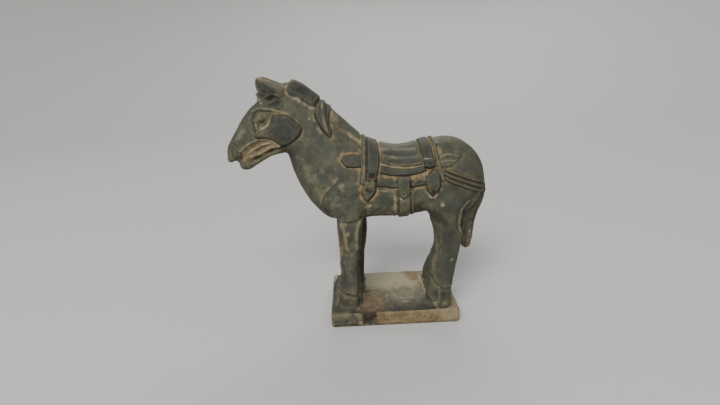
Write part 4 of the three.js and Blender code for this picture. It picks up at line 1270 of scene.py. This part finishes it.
pairs = np.empty(len(horse.data.edges) * 2, int)
horse.data.edges.foreach_get("vertices", pairs)
pairs = pairs.reshape(-1, 2)
count = len(worked)
length = np.linalg.norm(worked[pairs[:, 0]] - worked[pairs[:, 1]], axis=1)
spacing = np.bincount(pairs[:, 0], length, count) + np.bincount(pairs[:, 1], length, count)
spacing /= np.bincount(pairs.ravel(), minlength=count)
facing = normals_of(horse.data.vertices)
levelled = worked
hollow = np.zeros(count)
for step in range(1, max(LEVELLING) + 1):
    levelled = settle(levelled, pairs, count)
    if step in LEVELLING:
        low, high = LEVELLING[step]
        depth = np.einsum("ij,ij->i", levelled - worked, facing)
        hollow = np.where((spacing > low) & (spacing <= high), depth, hollow)
horse.data.attributes.new("hollow", "FLOAT", "POINT").data.foreach_set("value", hollow)
bpy.ops.object.select_all(action="DESELECT")
horse.select_set(True)
bpy.ops.object.shade_smooth()


# The finish: grey-green slip in three tones, brushed thin over ochre clay, thicker and darker on the
# harness. It's broken by patches and specks, under cream dust and painted highlights, rust stains, black
# grime and painted shade, and is matt.
SLIP_DEEP = (0.033, 0.035, 0.025, 1)
SLIP_PALE = (0.086, 0.085, 0.050, 1)
SLIP_BLUE = (0.046, 0.051, 0.045, 1)
OCHRE = (0.160, 0.108, 0.050, 1)
BUFF = (0.208, 0.156, 0.079, 1)
CREAM = (0.285, 0.252, 0.160, 1)
RUST_AND_SHADE = (0.075, 0.040, 0.022, 1)
GRIME_AND_SHADE = (0.011, 0.009, 0.005, 1)
SLIP_THICK_AND_SHADE = (0.024, 0.027, 0.022, 1)
CLOUD_MM, BLUE_CLOUD_MM, PATCH_MM, SPECK_MM, GRAIN_MM = 15, 10, 4.2, 1.1, 0.45
PORE_DEPTH = 0.3 * MM

clay = bpy.data.materials.new("slip_over_ochre_clay")
clay.use_nodes = True
nodes, links = clay.node_tree.nodes, clay.node_tree.links
surface = nodes["Principled BSDF"]
object_place = nodes.new("ShaderNodeTexCoord").outputs["Object"]


def plug(socket, value):
    if isinstance(value, bpy.types.NodeSocket):
        links.new(value, socket)
    else:
        socket.default_value = value


def mottle(size_mm, detail=4, roughness=0.6, offset=0.0):
    """Cloudy noise with patches of about this size."""
    node = nodes.new("ShaderNodeTexNoise")
    node.noise_dimensions = "3D"
    node.inputs["Scale"].default_value = 1 / MM / size_mm
    node.inputs["Detail"].default_value = detail
    node.inputs["Roughness"].default_value = roughness
    shift = nodes.new("ShaderNodeMapping")
    shift.inputs["Location"].default_value = (offset, offset * 1.7, offset * 0.6)
    links.new(object_place, shift.inputs["Vector"])
    links.new(shift.outputs["Vector"], node.inputs["Vector"])
    return node.outputs["Fac"]


def painted(field):
    node = nodes.new("ShaderNodeAttribute")
    node.attribute_name = field
    return node.outputs["Fac"]


def between(value, low, high, start=0.0, end=1.0):
    node = nodes.new("ShaderNodeMapRange")
    node.interpolation_type = "SMOOTHSTEP"
    plug(node.inputs["Value"], value)
    for name, number in (("From Min", low), ("From Max", high), ("To Min", start), ("To Max", end)):
        node.inputs[name].default_value = number
    return node.outputs["Result"]


def work_out(operation, first, second, third=None, clamp=False):
    node = nodes.new("ShaderNodeMath")
    node.operation = operation
    node.use_clamp = clamp
    plug(node.inputs[0], first)
    plug(node.inputs[1], second)
    if third is not None:
        plug(node.inputs[2], third)
    return node.outputs["Value"]


def weighed(*parts, plus=0.0):
    """The parts, each times its weight, added up."""
    total = plus
    for part, weight in reversed(parts):
        total = work_out("MULTIPLY_ADD", part, weight, total)
    return total


def blended(low, high, share):
    node = nodes.new("ShaderNodeMix")
    node.data_type = "RGBA"
    plug(node.inputs["Factor"], share)
    plug(node.inputs[6], low)
    plug(node.inputs[7], high)
    return node.outputs[2]


cloud = mottle(CLOUD_MM, 4, 0.6)
patch = mottle(PATCH_MM, 5, 0.65, 0.3)
speck = mottle(SPECK_MM, 4, 0.7, 0.7)
grain = mottle(GRAIN_MM, 3, 0.6, 0.1)
blue_cloud = mottle(BLUE_CLOUD_MM, 3, 0.55, 1.1)
ochre, cream, grime, rust, thick, hollow_depth = (painted(name) for name in (*FIELDS[1:], "hollow"))

# The slip's own colour, in clouds, with specks of clay through it, and thick slip brushed over, which in
# places is painted shade.
slip = blended(SLIP_DEEP, SLIP_PALE, between(weighed((speck, 0.1), (patch, 0.4), (cloud, 0.5)), 0.38, 0.63))
slip = blended(slip, SLIP_BLUE, between(blue_cloud, 0.45, 0.68, 0.0, 0.6))
slip = blended(slip, BUFF, between(speck, 0.56, 0.8, 0.0, 0.26))
brushed = between(weighed((patch, 0.6), (speck, 0.4)), 0.4, 0.58, 0.3, 1.0)
slip = blended(slip, SLIP_THICK_AND_SHADE, work_out("MULTIPLY", thick, brushed))
# The bare clay, where the slip is painted as rubbed off, more in the folds than on the crests.
bare = blended(OCHRE, BUFF, between(patch, 0.38, 0.62))
rubbed_off = weighed((hollow_depth, 0.55), (thick, -0.5), (ochre, 1), (speck, 0.4), (patch, 1.9), plus=-1.16)
colour = blended(slip, bare, between(rubbed_off, 0.06, 1.0))
# What came later: dust, wear on the crests, rust stains, grime and dark grains; the cream also holds painted
# highlights, and the rust and grime painted shade.
dusted = weighed((cream, 1), (speck, 0.45), (patch, 0.55), plus=-0.52)
colour = blended(colour, CREAM, between(dusted, 0.1, 1.0))
crest = work_out("MULTIPLY_ADD", thick, -0.28, between(hollow_depth, -0.06, -0.35, 0.0, 0.42), clamp=True)
colour = blended(colour, BUFF, work_out("MULTIPLY", crest, between(speck, 0.35, 0.6)))
colour = blended(colour, RUST_AND_SHADE, between(weighed((rust, 1), (speck, 0.7), plus=-0.35), 0.15, 1.0, 0.0, 0.85))
colour = blended(colour, GRIME_AND_SHADE, between(weighed((grime, 1), (speck, 0.6), plus=-0.3), 0.15, 1.0, 0.0, 0.92))
colour = blended(colour, GRIME_AND_SHADE, between(grain, 0.64, 0.8, 0.0, 0.35))
links.new(colour, surface.inputs["Base Color"])
links.new(between(patch, 0.3, 0.7, 0.62, 0.82), surface.inputs["Roughness"])
surface.inputs["Specular IOR Level"].default_value = 0.32

pores = nodes.new("ShaderNodeBump")
pores.inputs["Strength"].default_value = 0.8
pores.inputs["Distance"].default_value = PORE_DEPTH
links.new(weighed((grain, 0.5), (patch, 1.6), (speck, 1)), pores.inputs["Height"])
links.new(pores.outputs["Normal"], surface.inputs["Normal"])

horse.data.materials.clear()
horse.data.materials.append(clay)
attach(horse, "root")
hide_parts("horse_on_plinth")


# A plain pale floor that curves up into a wall all round, under soft light: a large lamp above on the near
# side, a weak one on the right, and a wide one above behind. Each lamp is its place, size and power.
FLOOR_SPAN = 9
FLOOR_CELLS = 90
WALL_FROM, WALL_TO, WALL_HEIGHT = 1.4, 4.2, 2.6
FLOOR_GREY = (0.52, 0.515, 0.50, 1)
SURROUND_GREY, SURROUND_LIGHT = (0.80, 0.80, 0.79, 1), 0.44
LAMPS = (
    ((-0.75, -1.88, 1.95), 1.2, 79.0),
    ((1.5, -1.25, 1.0), 1.25, 5.0),
    ((0.45, 1.95, 1.8), 1.8, 32.0),
)
LAMPS_AIM = Vector((-0.02, 0, 0.09))
bpy.ops.object.select_all(action="DESELECT")
bpy.ops.mesh.primitive_grid_add(
    x_subdivisions=FLOOR_CELLS, y_subdivisions=FLOOR_CELLS, size=FLOOR_SPAN, location=(0, 0, 0)
)
floor = bpy.context.active_object
floor.name = "floor"
for corner in floor.data.vertices:
    away = (math.hypot(corner.co.x, corner.co.y) - WALL_FROM) / (WALL_TO - WALL_FROM)
    corner.co.z = WALL_HEIGHT * min(max(away, 0), 1) ** 2
bpy.ops.object.shade_smooth()
floor_finish = bpy.data.materials.new("pale_floor")
floor_finish.use_nodes = True
floor_surface = floor_finish.node_tree.nodes["Principled BSDF"]
floor_surface.inputs["Base Color"].default_value = FLOOR_GREY
floor_surface.inputs["Roughness"].default_value = 0.9
floor.data.materials.append(floor_finish)

surround = bpy.data.worlds.new("studio")
surround.use_nodes = True
surround.node_tree.nodes["Background"].inputs["Color"].default_value = SURROUND_GREY
surround.node_tree.nodes["Background"].inputs["Strength"].default_value = SURROUND_LIGHT
bpy.context.scene.world = surround

for place, size, power in LAMPS:
    bpy.ops.object.light_add(type="AREA", location=place)
    lamp = bpy.context.active_object
    lamp.data.size = size
    lamp.data.energy = power
    lamp.rotation_euler = (Vector(place) - LAMPS_AIM).to_track_quat("Z", "Y").to_euler()


# The camera stands a little above the horse's back, on its near side, and is turned slightly over.
PICTURE_WIDTH = 720
FOCAL_PIXELS = 440
SENSOR_WIDTH = 36
CAMERA_PLACE = (-0.025, -0.324, 0.186)
pitch, yaw, roll = math.radians(16.9), math.radians(-0.42), math.radians(2.61)
bpy.ops.object.camera_add(location=CAMERA_PLACE)
camera = bpy.context.active_object
camera.data.sensor_width = SENSOR_WIDTH
camera.data.lens = SENSOR_WIDTH * FOCAL_PIXELS / PICTURE_WIDTH
back = Vector((math.sin(yaw) * math.cos(pitch), -math.cos(yaw) * math.cos(pitch), math.sin(pitch)))
across = (-back).cross(Vector((0, 0, 1))).normalized()
upward = across.cross(-back)
right = math.cos(roll) * across - math.sin(roll) * upward
top = math.sin(roll) * across + math.cos(roll) * upward
camera.rotation_euler = Matrix((right, top, back)).transposed().to_euler()
bpy.context.scene.camera = camera
